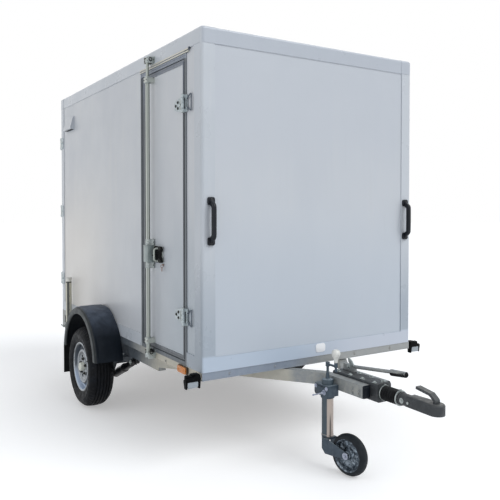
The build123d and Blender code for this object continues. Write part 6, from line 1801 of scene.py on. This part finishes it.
# ------------------------------------------------------------------------------ running gear dress
def running_gear():
    """Bolts of the axle and of the shock absorbers, and their sleeves."""
    steel = Piece("axle_bolts")
    axle_x = low("tyre_right").x + 0.2945 + 0.165
    beam_y = low("drawbar_right").y + 0.025
    for dx in (-0.07, 0.07):
        for dy in (-0.017, 0.017):
            steel.bolt((axle_x + dx, beam_y + dy, 0.4118), -Z, 0.013)
    shock_low, shock_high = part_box("shock_absorber_right")
    y_mid = (shock_low.y + shock_high.y) / 2
    lower = Vector((shock_low.x + 0.018, y_mid, shock_low.z + 0.0281))
    upper = Vector((shock_high.x - 0.03, y_mid, shock_high.z - 0.022))
    for eye in (lower, upper):
        steel.bolt(eye - Y * 0.0325, -Y, 0.015)
        steel.lathe([(0.0085, 0), (0.015, 0), (0.0156, 0.0016), (0.015, 0.003), (0.0085, 0.003)],
                    eye - Y * 0.0305, -Y, 24, closed=True)
    steel.mirror().finish("trailer", "zinc", ZINC)
    dust = Piece("shock_absorber_sleeves")
    run = (upper - lower).normalized()
    length = (upper - lower).length
    sleeve = ((0.0295, 0.46), (0.0312, 0.465), (0.0318, 0.48), (0.0318, 0.505), (0.03, 0.515), (0.025, 0.53),
              (0.024, 0.56), (0.024, 0.86), (0.0225, 0.9), (0.015, 0.92))
    dust.lathe([(r, length * share) for r, share in sleeve], lower, run, 40)
    for k in range(3):
        at = 0.2 + 0.05 * k
        dust.lathe([(0.029, length * at), (0.0306, length * at + 0.001), (0.0306, length * at + 0.004),
                    (0.029, length * at + 0.005)], lower, run, 36)
    foot = ((0.029, 0.02), (0.0308, 0.022), (0.0308, 0.05), (0.029, 0.055))
    dust.lathe([(r, length * share) for r, share in foot], lower, run, 36)
    dust.mirror().finish("trailer", "cast_steel", DAMPER)


running_gear()


# ------------------------------------------------------------------------------ inside the body
def inside():
    """What the open doors show: lashing rings, trim, lamp and threshold."""
    floor_top = high("floor").z
    rings = Piece("lashing_rings")
    for x in (0.62, 0.02, -0.58, -1.18, -1.66):
        y = -0.712
        rings.slab((x - 0.03, y - 0.018), (x + 0.03, y + 0.018),
                   0.007, floor_top - 0.0005, floor_top + 0.0032, "Z", 0.001)
        for dx in (-0.021, 0.021):
            rings.stud((x + dx, y, floor_top + 0.003), Z, 0.0044, 0.0022)
        rings.block((x - 0.011, y - 0.006, floor_top + 0.002), (x + 0.011, y + 0.006, floor_top + 0.0095),
                    0.003)
        rings.ring((x, y + 0.0155, floor_top + 0.0075), Vector((0, 0.22, 1)), 0.017, 0.003)
    rings.mirror().finish("trailer", "zinc", ZINC)
    trim = Piece("inner_corner_trim")
    for y in (-0.7645, 0.7645):
        way = -1 if y < 0 else 1
        for x0, x1 in ((-1.786, 0.042), (0.711, 0.857)) if y < 0 else ((-1.786, 0.857),):
            trim.sweep([(x0, y, floor_top), (x1, y, floor_top)],
                       [(0, 0), (0, 0.03), (0.0016 * way, 0.03), (0.0016 * way, 0.0016), (0.03 * way, 0.0016),
                        (0.03 * way, 0)], up=Z)
    trim.finish("trailer", "edge_white", ANODISED)
    lamp = Piece("inside_lamp")
    ceiling = low("roof").z
    lamp.slab((-0.62, -0.035), (-0.32, 0.035), 0.014, ceiling - 0.016, ceiling + 0.0005, "Z", 0.004, 3)
    lamp.finish("trailer", "lamp_white", LENS_WHITE)
    step = Piece("side_door_threshold")
    (x0, x1), (z0, _) = span(SIDE_DOOR, "side_door_frame")
    for k in range(7):
        y = -0.792 + 0.0042 * k
        step.block((x0 + 0.03, y - 0.0009, z0 + 0.0235), (x1 - 0.022, y + 0.0009, z0 + 0.0252), 0.0005)
    step.finish("trailer", "door_grey", ANODISED)


inside()


# ------------------------------------------------------------------------------ stage, camera, light
def stage():
    """The pale floor that the trailer stands on."""
    plane = bmesh.new()
    bmesh.ops.create_circle(plane, cap_ends=True, segments=64, radius=FLOOR_RADIUS)
    data = bpy.data.meshes.new("floor_stage")
    plane.to_mesh(data)
    plane.free()
    floor = bpy.data.objects.new("floor_stage", data)
    bpy.context.scene.collection.objects.link(floor)
    material = bpy.data.materials.new("pale_floor")
    material.use_nodes = True
    tree = material.node_tree
    shader = tree.nodes["Principled BSDF"]
    shader.inputs["Base Color"].default_value = (0.8, 0.8, 0.8, 1)
    shader.inputs["Roughness"].default_value = 0.9
    shader.inputs["Specular IOR Level"].default_value = 0.0
    seen = seen_rays(tree)
    shader.inputs["Emission Color"].default_value = (1, 1, 1, 1)
    lift = tree.nodes.new("ShaderNodeMath")
    lift.operation = "MULTIPLY"
    tree.links.new(seen, lift.inputs[0])
    lift.inputs[1].default_value = FLOOR_GLOW
    tree.links.new(lift.outputs[0], shader.inputs["Emission Strength"])
    data.materials.append(material)


def seen_rays(tree):
    """1 for rays that show the backdrop: from the camera, or by a mirror or through glass."""
    path = tree.nodes.new("ShaderNodeLightPath")
    total = path.outputs["Is Camera Ray"]
    for other in ("Is Glossy Ray", "Is Transmission Ray"):
        both = tree.nodes.new("ShaderNodeMath")
        both.operation = "MAXIMUM"
        tree.links.new(total, both.inputs[0])
        tree.links.new(path.outputs[other], both.inputs[1])
        total = both.outputs[0]
    return total


def light(name, towards, strength, colour, spread):
    lamp = bpy.data.lights.new(name, "SUN")
    lamp.energy = strength
    lamp.color = colour
    lamp.angle = math.radians(spread)
    thing = bpy.data.objects.new(name, lamp)
    thing.rotation_euler = Vector(towards).to_track_quat("-Z", "Y").to_euler()
    bpy.context.scene.collection.objects.link(thing)


def surroundings():
    world = bpy.data.worlds.new("studio")
    bpy.context.scene.world = world
    world.use_nodes = True
    tree = world.node_tree
    back = tree.nodes["Background"]
    mix = tree.nodes.new("ShaderNodeMix")
    mix.data_type = "RGBA"
    tree.links.new(seen_rays(tree), mix.inputs[MIX_SHARE])
    mix.inputs[MIX_FIRST].default_value = (0.45, 0.47, 0.5, 1)
    mix.inputs[MIX_SECOND].default_value = (1, 1, 1, 1)
    tree.links.new(mix.outputs[MIX_RESULT], back.inputs["Color"])
    back.inputs["Strength"].default_value = 1.0


def camera():
    lens = bpy.data.cameras.new("view")
    lens.sensor_width = 36
    lens.lens = 45.33
    lens.shift_x, lens.shift_y = 0.005, -0.0458
    eye = bpy.data.objects.new("view", lens)
    eye.location = (3.936, -2.41, 1.452)
    eye.rotation_euler = Vector((-0.8472, 0.5307, -0.02426)).to_track_quat("-Z", "Y").to_euler()
    bpy.context.scene.collection.objects.link(eye)
    bpy.context.scene.camera = eye


stage()
surroundings()
camera()
light("key", (-0.62, -0.35, -0.7), 1.62, (0.965, 0.985, 1.0), 40)
light("side_fill", (0.1, 0.9, -0.42), 0.42, (1.0, 0.99, 0.975), 60)
light("rear_fill", (0.75, -0.5, -0.42), 0.55, (1.0, 0.995, 0.985), 60)
bpy.context.scene.view_settings.view_transform = "Standard"
